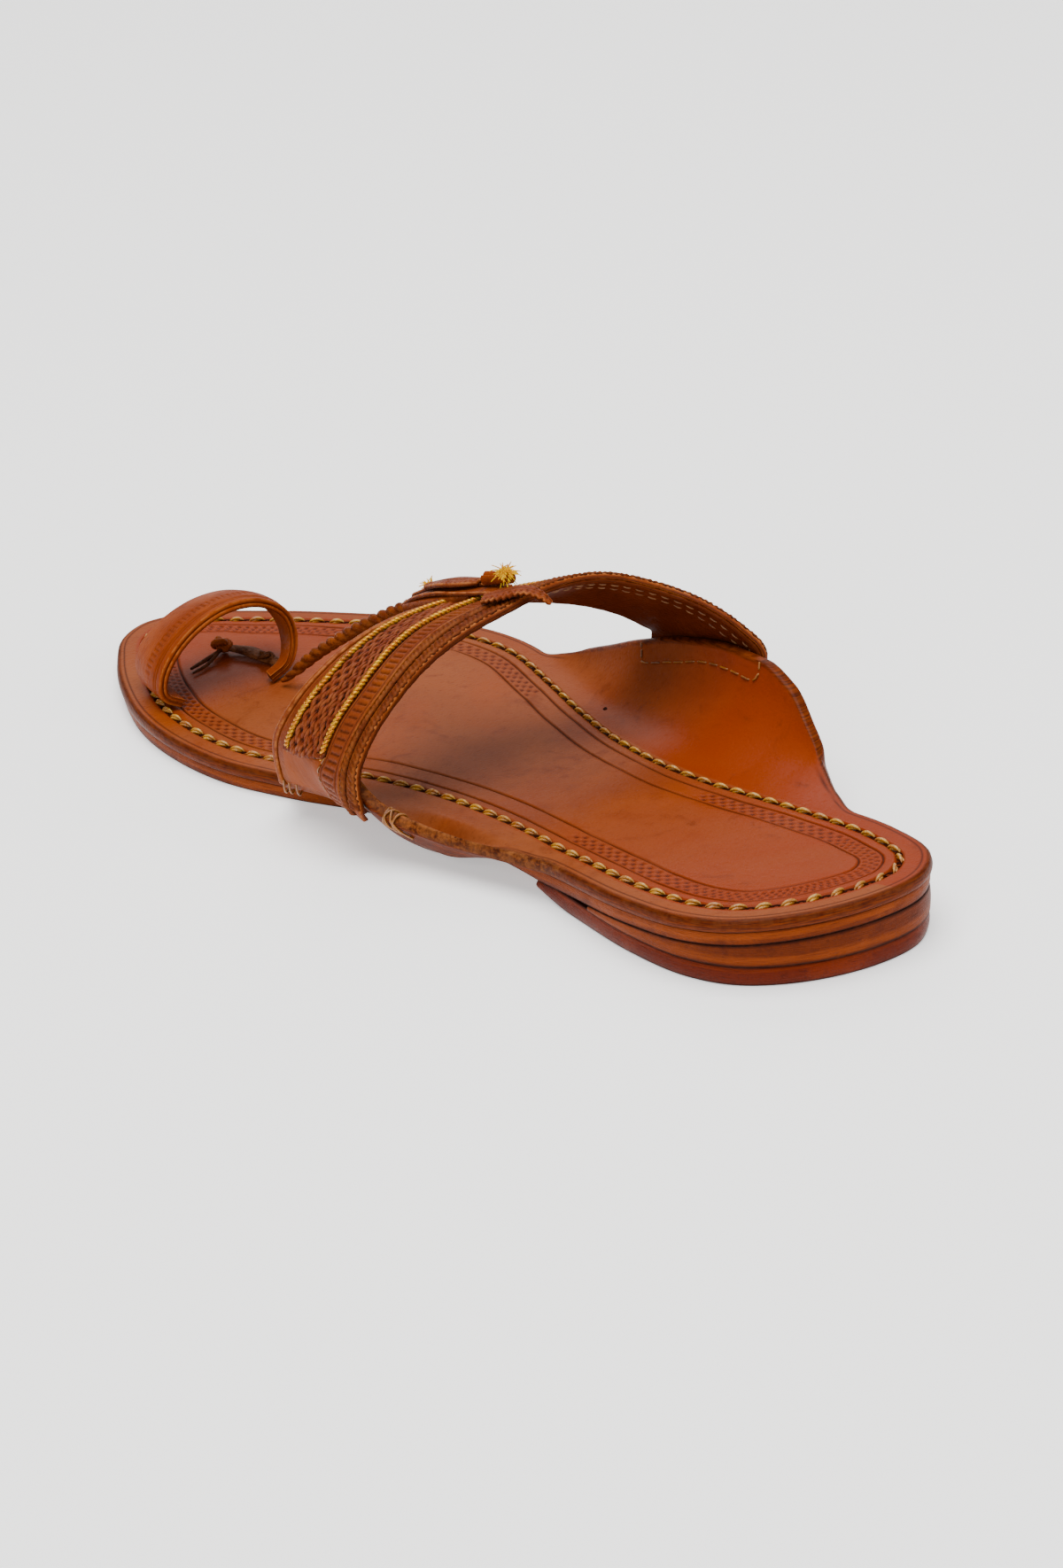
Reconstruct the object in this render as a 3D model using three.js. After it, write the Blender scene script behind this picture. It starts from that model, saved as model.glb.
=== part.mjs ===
// Right-foot kolhapuri sandal: flat leather sole with a low stacked heel, an insole whose two
// side ears rise at the waist, an instep band sewn outside the ears, a big-toe loop and a
// twisted cord with a leaf ornament joining the loop to the band.
// Frame: millimetres, +Z up, toe toward -Y, heel toward +Y, inner (medial) side +X.
import * as THREE from "three";

// ---- driving dimensions -------------------------------------------------------------
const GAP = 0.3; // clearance between neighbouring pieces
const INSOLE_T = 3.0; // insole and ear leather
const OUTSOLE_T = 3.1; // outsole leather
const FORE_TOP = INSOLE_T + GAP + OUTSOLE_T; // insole surface above the floor at the ball
const WAIST_Y0 = -20; // the sole leaves the floor behind the ball
const WAIST_Y1 = 60; // and meets the heel stack here
const WAIST_RISE = 4.6; // underside height where the stack begins
const HEEL_Y = 138; // back of the heel
const HEEL_RISE = 11.4; // underside of the outsole at the back of the heel
const BASE_T = 4.8; // bottom heel layer
const BASE_Y0 = 57.5; // front tip of the bottom heel layer
const BASE_FLAT_Y = 72; // the bottom layer lies on the floor behind this line
const LIFT_Y0 = 79; // thin front end of the wedge layer
const EDGE_STEP = 0.7; // the lower layers stand in from the insole edge
const FOLD_IN = 5; // the ears start to rise this far inside the sole edge
const EAR_TURN = THREE.MathUtils.degToRad(80); // lean reached at the rim of an ear
const BAND_T = 3.2; // instep band, all layers
const LOOP_T = 2.4; // toe loop leather
const CORD_R = 2.3; // twisted cord

// Edge of the sole, seen from above, from the toe tip round the inner side and back.
const SOLE_EDGE = [
  { x: 15, y: -137 },
  { x: 25, y: -132.5 },
  { x: 34, y: -120.5 },
  { x: 42, y: -105 },
  { x: 48.4, y: -86 },
  { x: 50.6, y: -66 },
  { x: 48.8, y: -46 },
  { x: 42, y: -26 },
  { x: 34.2, y: -8 },
  { x: 30.4, y: 12 },
  { x: 29.8, y: 38 },
  { x: 31, y: 68 },
  { x: 32.5, y: 94 },
  { x: 30.5, y: 112.5 },
  { x: 24.5, y: 124.5 },
  { x: 12, y: 134 },
  { x: -4, y: 138.8 },
  { x: -17.6, y: 137.6 },
  { x: -27.2, y: 129.4 },
  { x: -31.4, y: 113 },
  { x: -31.6, y: 92 },
  { x: -29.8, y: 64 },
  { x: -28.4, y: 44 },
  { x: -31.2, y: 22 },
  { x: -36.8, y: 0 },
  { x: -43, y: -22 },
  { x: -48.2, y: -46 },
  { x: -46.6, y: -64 },
  { x: -38.5, y: -84 },
  { x: -26.5, y: -102 },
  { x: -12, y: -119.5 },
  { x: 2, y: -132.5 },
];

// Rim of each ear: how far it stands out past the sole edge and up above the insole, and how
// far the leather between sole edge and rim sags below that sweep.
const INNER_EAR = [
  { y: -27, out: 0, up: 0, sag: 0 },
  { y: -20, out: 3.2, up: 5, sag: 0 },
  { y: -12, out: 8, up: 12, sag: 0 },
  { y: -4, out: 11.5, up: 16, sag: 0 },
  { y: 8, out: 14.6, up: 14, sag: 1 },
  { y: 16, out: 15, up: 9.5, sag: 3 },
  { y: 22, out: 13.2, up: 5.4, sag: 4.4 },
  { y: 31, out: 10.6, up: 2.8, sag: 4.8 },
  { y: 42, out: 7, up: 0.9, sag: 2.2 },
  { y: 54, out: 3, up: 0.2, sag: 0 },
  { y: 66, out: 0, up: 0, sag: 0 },
];
const OUTER_EAR = [
  { y: -42, out: 0, up: 0, sag: 0 },
  { y: -32, out: 2, up: 2.8, sag: 0 },
  { y: -16, out: 5.4, up: 9, sag: 0 },
  { y: 0, out: 9.2, up: 15, sag: 0 },
  { y: 16, out: 14.6, up: 18.8, sag: 0 },
  { y: 33, out: 18.8, up: 20.2, sag: 0 },
  { y: 47, out: 19.6, up: 19.6, sag: 0 },
  { y: 56, out: 19, up: 16, sag: 0 },
  { y: 66, out: 15.6, up: 8.8, sag: 0 },
  { y: 77, out: 10.4, up: 3, sag: 0 },
  { y: 88, out: 4.4, up: 0.8, sag: 0 },
  { y: 100, out: 0, up: 0, sag: 0 },
];

// Middle surface of the instep band between the two ears: front and rear edge.
const ARCH = [
  { fx: 50.2, fy: -15.5, fz: 23.5, rx: 49.6, ry: 18.4, rz: 24.5 },
  { fx: 46.6, fy: -11.5, fz: 32.5, rx: 44.4, ry: 17.8, rz: 32 },
  { fx: 38.8, fy: -9.8, fz: 39, rx: 36.6, ry: 17.4, rz: 38.8 },
  { fx: 28, fy: -10.4, fz: 42.8, rx: 27, ry: 16.8, rz: 44.6 },
  { fx: 15, fy: -11.2, fz: 44.2, rx: 15.6, ry: 16.6, rz: 48.8 },
  { fx: 0, fy: -10, fz: 43.8, rx: 2, ry: 16.8, rz: 51.4 },
  { fx: -16, fy: -6, fz: 41.6, rx: -12, ry: 16, rz: 52.6 },
  { fx: -29.5, fy: -1, fz: 38.2, rx: -26, ry: 17, rz: 50.8 },
  { fx: -40, fy: 1.6, fz: 33.2, rx: -36.8, ry: 22.2, rz: 46.6 },
  { fx: -47.2, fy: 2.2, fz: 28, rx: -44.8, ry: 30.8, rz: 41.8 },
  { fx: -50.8, fy: 1.8, fz: 25, rx: -49.9, ry: 38.8, rz: 35.8 },
];
const BAND_ENDS = {
  inner: { frontY: -20, rearY: 18.5, frontLow: 7.5, rearLow: 11 },
  outer: { frontY: 1, rearY: 42.5, frontLow: 13, rearLow: 15 },
};

// Rear rim of the toe loop; the front rim is the same line shrunk and moved forward.
const LOOP_RIM = [
  { x: 38.6, y: -79, z: 7.9 },
  { x: 42.6, y: -80.5, z: 10.6 },
  { x: 42.4, y: -80.5, z: 15.6 },
  { x: 37.8, y: -80.5, z: 21.6 },
  { x: 30, y: -80.5, z: 26.4 },
  { x: 21.2, y: -80.5, z: 28.4 },
  { x: 11.8, y: -80.5, z: 26.8 },
  { x: 5, y: -80.5, z: 21.4 },
  { x: 3.8, y: -79.8, z: 15 },
  { x: 7.4, y: -77.4, z: 9.8 },
  { x: 14.4, y: -75.4, z: 7.9 },
];
const LOOP_REAR_X = 25;
const LOOP_FRONT = { x: 20.5, run: -22, wide: 0.96, tall: 0.74 };

// Centre line of the twisted cord from the loop to the front edge of the band.
const CORD_LINE = [
  { x: 11.2, y: -69.6, z: 10.6 },
  { x: 8.6, y: -65, z: 15.2 },
  { x: 6.2, y: -56, z: 21.8 },
  { x: 4.2, y: -46, z: 28.2 },
  { x: 2.2, y: -36, z: 34 },
  { x: 1.2, y: -28.6, z: 37.8 },
];

// ---- small helpers ------------------------------------------------------------------
const lerp = THREE.MathUtils.lerp;
const clamp = THREE.MathUtils.clamp;

function smooth(a, b, v) {
  const t = clamp((v - a) / (b - a), 0, 1);
  return t * t * (3 - 2 * t);
}

// Height of the outsole's underside along the foot.
function underside(y) {
  const waist = WAIST_RISE * smooth(WAIST_Y0, WAIST_Y1, y);
  const wedge = (HEEL_RISE - WAIST_RISE) * clamp((y - WAIST_Y1) / (HEEL_Y - WAIST_Y1), 0, 1.1);
  return waist + wedge;
}

function footbed(y) {
  return underside(y) + FORE_TOP;
}

// Monotone curve through a table, read at one of its columns.
function along(rows, key, value, column) {
  if (value <= rows[0][key]) return rows[0][column];
  const last = rows.length - 1;
  if (value >= rows[last][key]) return rows[last][column];
  let i = 0;
  while (rows[i + 1][key] < value) i += 1;
  const slope = (k) => (rows[k + 1][column] - rows[k][column]) / (rows[k + 1][key] - rows[k][key]);
  const tangent = (k) => {
    if (k === 0 || k === last) return 0;
    const a = slope(k - 1);
    const b = slope(k);
    return a * b <= 0 ? 0 : (2 * a * b) / (a + b);
  };
  const h = rows[i + 1][key] - rows[i][key];
  const t = (value - rows[i][key]) / h;
  const t2 = t * t;
  const t3 = t2 * t;
  return (
    (2 * t3 - 3 * t2 + 1) * rows[i][column] +
    (t3 - 2 * t2 + t) * h * tangent(i) +
    (3 * t2 - 2 * t3) * rows[i + 1][column] +
    (t3 - t2) * h * tangent(i + 1)
  );
}

// The closed edge curve split into its two sides, each read as x against y.
const EDGE_CURVE = new THREE.CatmullRomCurve3(
  SOLE_EDGE.map((p) => new THREE.Vector3(p.x, p.y, 0)),
  true,
  "centripetal",
);
const EDGE_POINTS = EDGE_CURVE.getPoints(900);
const TOE_Y = Math.min(...EDGE_POINTS.map((p) => p.y));
const BACK_Y = Math.max(...EDGE_POINTS.map((p) => p.y));
const TOE_I = EDGE_POINTS.findIndex((p) => p.y === TOE_Y);
const BACK_I = EDGE_POINTS.findIndex((p) => p.y === BACK_Y);

function sideRows(inner) {
  const ring = EDGE_POINTS.slice(0, -1);
  const rows = [];
  const n = ring.length;
  const step = inner ? 1 : -1;
  for (let i = TOE_I % n; i !== BACK_I % n; i = (i + step + n) % n) rows.push(ring[i]);
  rows.push(ring[BACK_I % n]);
  return rows.filter((p, i) => i === 0 || p.y > rows[i - 1].y);
}
const INNER_SIDE = sideRows(true);
const OUTER_SIDE = sideRows(false);

function edgeX(inner, y, inset = 0) {
  const rows = inner ? INNER_SIDE : OUTER_SIDE;
  let lo = 0;
  let hi = rows.length - 1;
  while (hi - lo > 1) {
    const mid = (lo + hi) >> 1;
    if (rows[mid].y <= y) lo = mid;
    else hi = mid;
  }
  const t = clamp((y - rows[lo].y) / (rows[hi].y - rows[lo].y), 0, 1);
  return lerp(rows[lo].x, rows[hi].x, t) - (inner ? inset : -inset);
}

// Rows of points crowded toward the round ends.
function stations(a, b, n) {
  const out = [];
  for (let i = 0; i <= n; i += 1) out.push(lerp(a, b, (1 - Math.cos((Math.PI * i) / n)) / 2));
  return out;
}

// A closed body between two grids of the same size.
function solid(name, upper, lower, material) {
  const n = upper.length;
  const m = upper[0].length;
  const points = [...upper.flat(), ...lower.flat()];
  const at = (side, i, j) => side * n * m + i * m + j;
  const faces = [];
  const quad = (a, b, c, d) => faces.push(a, b, c, a, c, d);
  for (let i = 0; i < n - 1; i += 1) {
    for (let j = 0; j < m - 1; j += 1) {
      quad(at(0, i, j), at(0, i + 1, j), at(0, i + 1, j + 1), at(0, i, j + 1));
      quad(at(1, i, j), at(1, i, j + 1), at(1, i + 1, j + 1), at(1, i + 1, j));
    }
  }
  for (let i = 0; i < n - 1; i += 1) {
    quad(at(0, i + 1, 0), at(0, i, 0), at(1, i, 0), at(1, i + 1, 0));
    quad(at(0, i, m - 1), at(0, i + 1, m - 1), at(1, i + 1, m - 1), at(1, i, m - 1));
  }
  for (let j = 0; j < m - 1; j += 1) {
    quad(at(0, 0, j), at(0, 0, j + 1), at(1, 0, j + 1), at(1, 0, j));
    quad(at(0, n - 1, j + 1), at(0, n - 1, j), at(1, n - 1, j), at(1, n - 1, j + 1));
  }
  let volume = 0;
  for (let k = 0; k < faces.length; k += 3) {
    const [a, b, c] = [points[faces[k]], points[faces[k + 1]], points[faces[k + 2]]];
    volume += a.dot(new THREE.Vector3().crossVectors(b, c)) / 6;
  }
  if (volume < 0) faces.reverse();
  const geometry = new THREE.BufferGeometry();
  geometry.setAttribute("position", new THREE.Float32BufferAttribute(points.flatMap((p) => [p.x, p.y, p.z]), 3));
  geometry.setIndex(faces);
  geometry.computeVertexNormals();
  const mesh = new THREE.Mesh(geometry, material);
  mesh.name = name;
  return mesh;
}

// A leather sheet of even thickness about a middle surface.
function sheet(name, middle, thickness, material) {
  const n = middle.length;
  const m = middle[0].length;
  const upper = [];
  const lower = [];
  for (let i = 0; i < n; i += 1) {
    upper.push([]);
    lower.push([]);
    for (let j = 0; j < m; j += 1) {
      const du = middle[Math.min(i + 1, n - 1)][j].clone().sub(middle[Math.max(i - 1, 0)][j]);
      const dv = middle[i][Math.min(j + 1, m - 1)].clone().sub(middle[i][Math.max(j - 1, 0)]);
      const normal = new THREE.Vector3().crossVectors(du, dv).normalize();
      upper[i].push(middle[i][j].clone().addScaledVector(normal, thickness / 2));
      lower[i].push(middle[i][j].clone().addScaledVector(normal, -thickness / 2));
    }
  }
  return solid(name, upper, lower, material);
}

function leather(color, roughness) {
  return new THREE.MeshStandardMaterial({ color, roughness, metalness: 0 });
}

// ---- sole layers --------------------------------------------------------------------
function soleLayer(name, y0, y1, count, across, topAt, bottomAt, inset, material) {
  const upper = [];
  const lower = [];
  for (const y of stations(y0, y1, count)) {
    const a = edgeX(false, y, inset);
    const b = edgeX(true, y, inset);
    const row = (height) => {
      const out = [];
      for (let j = 0; j <= across; j += 1) out.push(new THREE.Vector3(lerp(a, b, j / across), y, height(y)));
      return out;
    };
    upper.push(row(topAt));
    lower.push(row(bottomAt));
  }
  return solid(name, upper, lower, material);
}

// ---- insole and ears ----------------------------------------------------------------
function earRim(inner, y) {
  const rows = inner ? INNER_EAR : OUTER_EAR;
  return { out: along(rows, "y", y, "out"), up: along(rows, "y", y, "up"), sag: along(rows, "y", y, "sag") };
}

// Point on the grain side of an ear (u from fold to rim), moved outward by `offset`.
function earPoint(inner, y, u, offset) {
  const sign = inner ? 1 : -1;
  const rim = earRim(inner, y);
  const half = (edgeX(true, y) - edgeX(false, y)) / 2;
  const fold = Math.min(FOLD_IN, half * 0.6);
  const run = fold + rim.out;
  const turn = EAR_TURN * smooth(0, 6, rim.up) + 0.001;
  const phi = u * turn;
  const past = (run * Math.sin(phi)) / Math.sin(turn) - fold;
  const sag = past > 0 ? rim.sag * Math.sin((Math.PI * past) / Math.max(rim.out, 0.1)) ** 2 : 0;
  const dx = (run * Math.sin(phi)) / Math.sin(turn);
  const dz = (rim.up * (1 - Math.cos(phi))) / (1 - Math.cos(turn));
  const tx = (run * Math.cos(phi)) / Math.sin(turn);
  const tz = (rim.up * Math.sin(phi)) / (1 - Math.cos(turn));
  const len = Math.hypot(tx, tz);
  return new THREE.Vector3(
    edgeX(inner, y) - sign * fold + sign * (dx + (offset * tz) / len),
    y,
    footbed(y) + dz - sag - (offset * tx) / len,
  );
}

function insole(material) {
  const upper = [];
  const lower = [];
  const turns = 7;
  const flats = 2;
  for (const y of stations(TOE_Y + 0.25, BACK_Y - 0.25, 60)) {
    const row = (offset) => {
      const out = [];
      for (let k = turns; k > 0; k -= 1) out.push(earPoint(false, y, k / turns, offset));
      const a = earPoint(false, y, 0, offset);
      const b = earPoint(true, y, 0, offset);
      for (let k = 0; k <= flats; k += 1) out.push(a.clone().lerp(b, k / flats));
      for (let k = 1; k <= turns; k += 1) out.push(earPoint(true, y, k / turns, offset));
      return out;
    };
    upper.push(row(0));
    lower.push(row(INSOLE_T));
  }
  return solid("insole", upper, lower, material);
}

// ---- instep band --------------------------------------------------------------------
// Lowest ear parameter at which the band still stands above a given height.
function lowEnd(inner, y, height, offset) {
  let lo = 0.2;
  let hi = 1;
  for (let k = 0; k < 24; k += 1) {
    const mid = (lo + hi) / 2;
    if (earPoint(inner, y, mid, offset).z < height) lo = mid;
    else hi = mid;
  }
  return hi;
}

function bandEnd(inner, s) {
  const end = inner ? BAND_ENDS.inner : BAND_ENDS.outer;
  const y = lerp(end.frontY, end.rearY, s);
  const offset = INSOLE_T + GAP + BAND_T / 2 + (inner ? 0.3 : 0.5);
  const rim = earPoint(inner, y, 1, offset).z;
  const low = Math.min(lerp(end.frontLow, end.rearLow, s), rim - 2);
  const from = lowEnd(inner, y, low, offset);
  return [0, 0.5, 1].map((t) => earPoint(inner, y, lerp(from, 1, t), offset));
}

function instepBand(material) {
  const middle = [];
  const widths = 8;
  for (let i = 0; i <= widths; i += 1) {
    const s = i / widths;
    const arch = ARCH.map((r) => new THREE.Vector3(lerp(r.fx, r.rx, s), lerp(r.fy, r.ry, s), lerp(r.fz, r.rz, s)));
    const line = new THREE.CatmullRomCurve3(
      [...bandEnd(true, s), ...arch, ...bandEnd(false, s).reverse()],
      false,
      "centripetal",
    );
    middle.push(line.getSpacedPoints(60));
  }
  return sheet("instep_band", middle, BAND_T, material);
}

// ---- toe loop -----------------------------------------------------------------------
// The strap narrows toward its outer foot, where it runs into the insole as a point.
function toeLoop(material) {
  const floor = LOOP_RIM[0].z;
  const rim = new THREE.CatmullRomCurve3(LOOP_RIM.map((p) => new THREE.Vector3(p.x, p.y, p.z)), false, "centripetal");
  const depth = 5;
  const count = 40;
  const middle = [];
  for (let i = 0; i <= depth; i += 1) {
    const row = [];
    for (let j = 0; j <= count; j += 1) {
      const t = j / count;
      const width = 0.7 + 0.3 * smooth(0, 0.2, t) - 0.84 * smooth(0.55, 0.98, t);
      const s = (i / depth) * width;
      const p = rim.getPointAt(t);
      const bow = 1 + 0.04 * Math.sin(Math.PI * s);
      row.push(new THREE.Vector3(
        lerp(LOOP_REAR_X, LOOP_FRONT.x, s) + (p.x - LOOP_REAR_X) * lerp(1, LOOP_FRONT.wide, s) * bow,
        p.y + LOOP_FRONT.run * s,
        floor + (p.z - floor) * lerp(1, LOOP_FRONT.tall, s) * bow,
      ));
    }
    middle.push(row);
  }
  return sheet("toe_loop", middle, LOOP_T, material);
}

// ---- twisted cord -------------------------------------------------------------------
function twistedCord(material) {
  const line = new THREE.CatmullRomCurve3(CORD_LINE.map((p) => new THREE.Vector3(p.x, p.y, p.z)));
  const rings = line.getSpacedPoints(34);
  const sides = 10;
  const points = [];
  const faces = [];
  rings.forEach((c, i) => {
    const tangent = line.getTangentAt(i / 34);
    const side = new THREE.Vector3(1, 0, 0).cross(tangent).normalize();
    const other = new THREE.Vector3().crossVectors(tangent, side);
    for (let k = 0; k < sides; k += 1) {
      const a = (2 * Math.PI * k) / sides;
      points.push(c.clone().addScaledVector(side, CORD_R * Math.cos(a)).addScaledVector(other, CORD_R * Math.sin(a)));
    }
  });
  const n = rings.length;
  for (let i = 0; i < n - 1; i += 1) {
    for (let k = 0; k < sides; k += 1) {
      const [a, b] = [i * sides + k, i * sides + ((k + 1) % sides)];
      faces.push(a, b, b + sides, a, b + sides, a + sides);
    }
  }
  const [first, last] = [points.push(rings[0].clone()) - 1, points.push(rings[n - 1].clone()) - 1];
  for (let k = 0; k < sides; k += 1) {
    const next = (k + 1) % sides;
    faces.push(first, next, k, last, (n - 1) * sides + k, (n - 1) * sides + next);
  }
  const geometry = new THREE.BufferGeometry();
  geometry.setAttribute("position", new THREE.Float32BufferAttribute(points.flatMap((p) => [p.x, p.y, p.z]), 3));
  geometry.setIndex(faces);
  geometry.computeVertexNormals();
  const mesh = new THREE.Mesh(geometry, material);
  mesh.name = "twisted_cord";
  return mesh;
}

// ---- ornament -----------------------------------------------------------------------
// A strip along a centre line, its width and roof-like bow given along the way.
function strip(name, line, widthAt, bow, thickness, across, count, material) {
  const curve = new THREE.CatmullRomCurve3(line.map((p) => new THREE.Vector3(p.x, p.y, p.z)));
  const middle = [];
  for (let i = 0; i <= count; i += 1) {
    const t = i / count;
    const c = curve.getPointAt(t);
    const forward = curve.getTangentAt(t);
    const side = new THREE.Vector3().crossVectors(forward, new THREE.Vector3(0, 0, 1)).normalize();
    const up = new THREE.Vector3().crossVectors(side, forward).normalize();
    const row = [];
    for (let j = 0; j <= across; j += 1) {
      const v = (2 * j) / across - 1;
      row.push(c.clone().addScaledVector(side, (v * widthAt(t)) / 2).addScaledVector(up, bow * (1 - v * v)));
    }
    middle.push(row);
  }
  return sheet(name, middle, thickness, material);
}

const LEAF_LOWER = [
  { x: 1, y: -27.4, z: 39.5 },
  { x: 0.4, y: -19, z: 43.9 },
  { x: -0.5, y: -11.4, z: 46.7 },
  { x: -1.1, y: -4, z: 48.6 },
  { x: -2, y: 2.4, z: 50.3 },
  { x: -2.6, y: 8.5, z: 51.9 },
];
const LEAF_UPPER = [
  { x: 0.8, y: -19, z: 45.8 },
  { x: 0.2, y: -12, z: 48.4 },
  { x: -0.8, y: -5.5, z: 50.1 },
  { x: -1.8, y: 0, z: 51.6 },
];
const TAB_LINE = [
  { x: 4.6, y: 9.8, z: 52 },
  { x: 1.6, y: 13.6, z: 53.4 },
  { x: -1.8, y: 17.6, z: 54.5 },
  { x: -4.2, y: 20.8, z: 53.4 },
  { x: -5.8, y: 22.8, z: 51 },
];
const THONG_LINE = [
  { x: 25.5, y: -98.6, z: 7.6 },
  { x: 20, y: -99.4, z: 7.8 },
  { x: 14, y: -96.6, z: 8.1 },
  { x: 9.4, y: -90.6, z: 8.1 },
];

// A rounded lump of leather: a stretched ball with flattened poles closed by small rings.
function knot(name, centre, radii, material) {
  const geometry = new THREE.SphereGeometry(1, 12, 8).scale(radii.x, radii.y, radii.z);
  geometry.rotateX(Math.PI / 2).translate(centre.x, centre.y, centre.z);
  const mesh = new THREE.Mesh(geometry, material);
  mesh.name = name;
  return mesh;
}

// A strip rolled into a short scroll, closed at both ends.
function scroll(name, from, to, radius, material) {
  const axis = new THREE.Vector3().subVectors(to, from);
  const geometry = new THREE.CylinderGeometry(radius * 0.86, radius, axis.length(), 14, 3);
  const mesh = new THREE.Mesh(geometry, material);
  mesh.quaternion.setFromUnitVectors(new THREE.Vector3(0, 1, 0), axis.normalize());
  mesh.position.copy(from).add(to).multiplyScalar(0.5);
  mesh.name = name;
  return mesh;
}

const leafWidth = (t) => 4.6 + 6.4 * Math.sin(Math.PI * clamp(t * 0.86 + 0.08, 0, 1));
const tabWidth = (t) => Math.max(0.9, 6.4 * Math.sqrt(1 - t) * (0.75 + 0.25 * Math.min(1, t * 4)));

const group = new THREE.Group();
group.name = "kolhapuri_sandal";
group.add(
  soleLayer("outsole", TOE_Y + 0.9, BACK_Y - 0.9, 60, 2, (y) => underside(y) + OUTSOLE_T, underside,
    EDGE_STEP, leather(0x7a3a1a, 0.6)),
  soleLayer("heel_lift", LIFT_Y0, BACK_Y - 1.1, 26, 2, (y) => underside(y) - GAP, () => BASE_T + GAP,
    EDGE_STEP, leather(0x6b2c14, 0.5)),
  soleLayer("heel_base", BASE_Y0, BACK_Y - 1.5, 32, 2, (y) => Math.min(BASE_T, underside(y) - GAP),
    (y) => 3 * (1 - smooth(BASE_Y0 - 9, BASE_FLAT_Y, y)), EDGE_STEP + 0.7, leather(0x5c2010, 0.45)),
  insole(leather(0xb5622c, 0.5)),
  instepBand(leather(0x9a4c22, 0.5)),
  toeLoop(leather(0x96481f, 0.5)),
  twistedCord(leather(0x8a3f1a, 0.5)),
  strip("ornament_leaf_lower", LEAF_LOWER, leafWidth, 0.3, 1.1, 6, 20, leather(0x6e2f18, 0.5)),
  strip("ornament_leaf_upper", LEAF_UPPER, (t) => 3 + 4 * Math.sin(Math.PI * t), 0.2, 1, 4, 14,
    leather(0x7c3a1c, 0.5)),
  strip("ornament_tab", TAB_LINE, tabWidth, 0.2, 1.1, 4, 14, leather(0x7a3619, 0.5)),
  scroll("ornament_roll", new THREE.Vector3(-2, 2.6, 53.5), new THREE.Vector3(-3.4, 10.4, 55.6), 1.8,
    leather(0x8a421e, 0.5)),
  strip("loop_thong", THONG_LINE, () => 3.2, 0.2, 1.6, 3, 12, leather(0x4a2414, 0.6)),
  knot("loop_knot", { x: 12.6, y: -102, z: 9.2 }, { x: 2.6, y: 2.3, z: 2.4 }, leather(0x8a431e, 0.5)),
);

// The frame's origin: middle of the box that holds every piece, on the floor.
const box = new THREE.Box3().setFromObject(group, true);
group.position.set(-(box.min.x + box.max.x) / 2, -(box.min.y + box.max.y) / 2, 0);

export default group;
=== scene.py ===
# %% [markdown]
# # A kolhapuri sandal, stitch by stitch
# The kolhapuri is a flat leather sandal of western India, cut, stitched and burnished by hand.
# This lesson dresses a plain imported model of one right-foot sandal. Each layer of leather, each
# thread and each cord is a surface worked out with numpy, finished by a procedural material.
# The model gives the frame: where the sole lies, how wide the band is, where the cord runs.

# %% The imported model
import math

import bpy
import numpy as np
from mathutils import Matrix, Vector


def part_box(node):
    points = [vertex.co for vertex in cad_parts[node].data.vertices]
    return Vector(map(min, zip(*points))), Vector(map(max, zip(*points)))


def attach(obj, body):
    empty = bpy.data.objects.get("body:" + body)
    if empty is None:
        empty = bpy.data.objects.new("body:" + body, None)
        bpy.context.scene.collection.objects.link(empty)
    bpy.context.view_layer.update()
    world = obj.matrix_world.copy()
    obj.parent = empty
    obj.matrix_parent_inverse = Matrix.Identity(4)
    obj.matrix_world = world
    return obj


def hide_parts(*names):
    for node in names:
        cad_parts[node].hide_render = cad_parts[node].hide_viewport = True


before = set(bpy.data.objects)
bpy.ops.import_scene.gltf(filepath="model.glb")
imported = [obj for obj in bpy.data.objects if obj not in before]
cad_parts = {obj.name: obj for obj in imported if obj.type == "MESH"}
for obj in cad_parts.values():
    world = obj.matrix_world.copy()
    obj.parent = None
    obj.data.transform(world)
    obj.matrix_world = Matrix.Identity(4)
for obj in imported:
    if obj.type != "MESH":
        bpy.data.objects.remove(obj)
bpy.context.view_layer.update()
MM = 0.001
print("pieces in the packed model:", len(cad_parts))

# %% [markdown]
# ## Camera, floor and light
# The sandal is seen from behind its heel and from its inner side, a little above. The camera is
# placed by turning round a point on the footbed, and rolled a few degrees, as a hand-held one is.
# A big pale floor and wide soft lamps give leather its long, quiet highlights: one behind the
# sandal skims the footbed, one overhead fills, and one beside the camera opens the shadows.

# %% Camera
AIM = np.array([0.0107, 0.0289, 0.012])
TURN, LIFT, ROLL = math.radians(145.5), math.radians(25.4), math.radians(-4.9)
DISTANCE = 0.887
LENS = 86.49


def unit(v):
    """Vectors scaled to length one, along the last axis."""
    return v / np.maximum(np.linalg.norm(v, axis=-1, keepdims=True), 1e-12)


def look(place, aim, roll=0.0):
    """A 4 by 4 pose at `place`: minus z looks at `aim`, and x and y are then rolled about it."""
    back = unit(np.subtract(place, aim))
    right = unit(np.cross([0, 0, 1], back))
    up = np.cross(back, right)
    pose = np.eye(4)
    pose[:3, 0] = right * math.cos(roll) + up * math.sin(roll)
    pose[:3, 1] = up * math.cos(roll) - right * math.sin(roll)
    pose[:3, 2] = back
    pose[:3, 3] = place
    return pose


def from_pose(name, data, pose):
    """Puts a camera or a lamp in the scene at a pose."""
    made = bpy.data.objects.new(name, data)
    bpy.context.scene.collection.objects.link(made)
    made.matrix_world = Matrix(pose.tolist())
    return made


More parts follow.
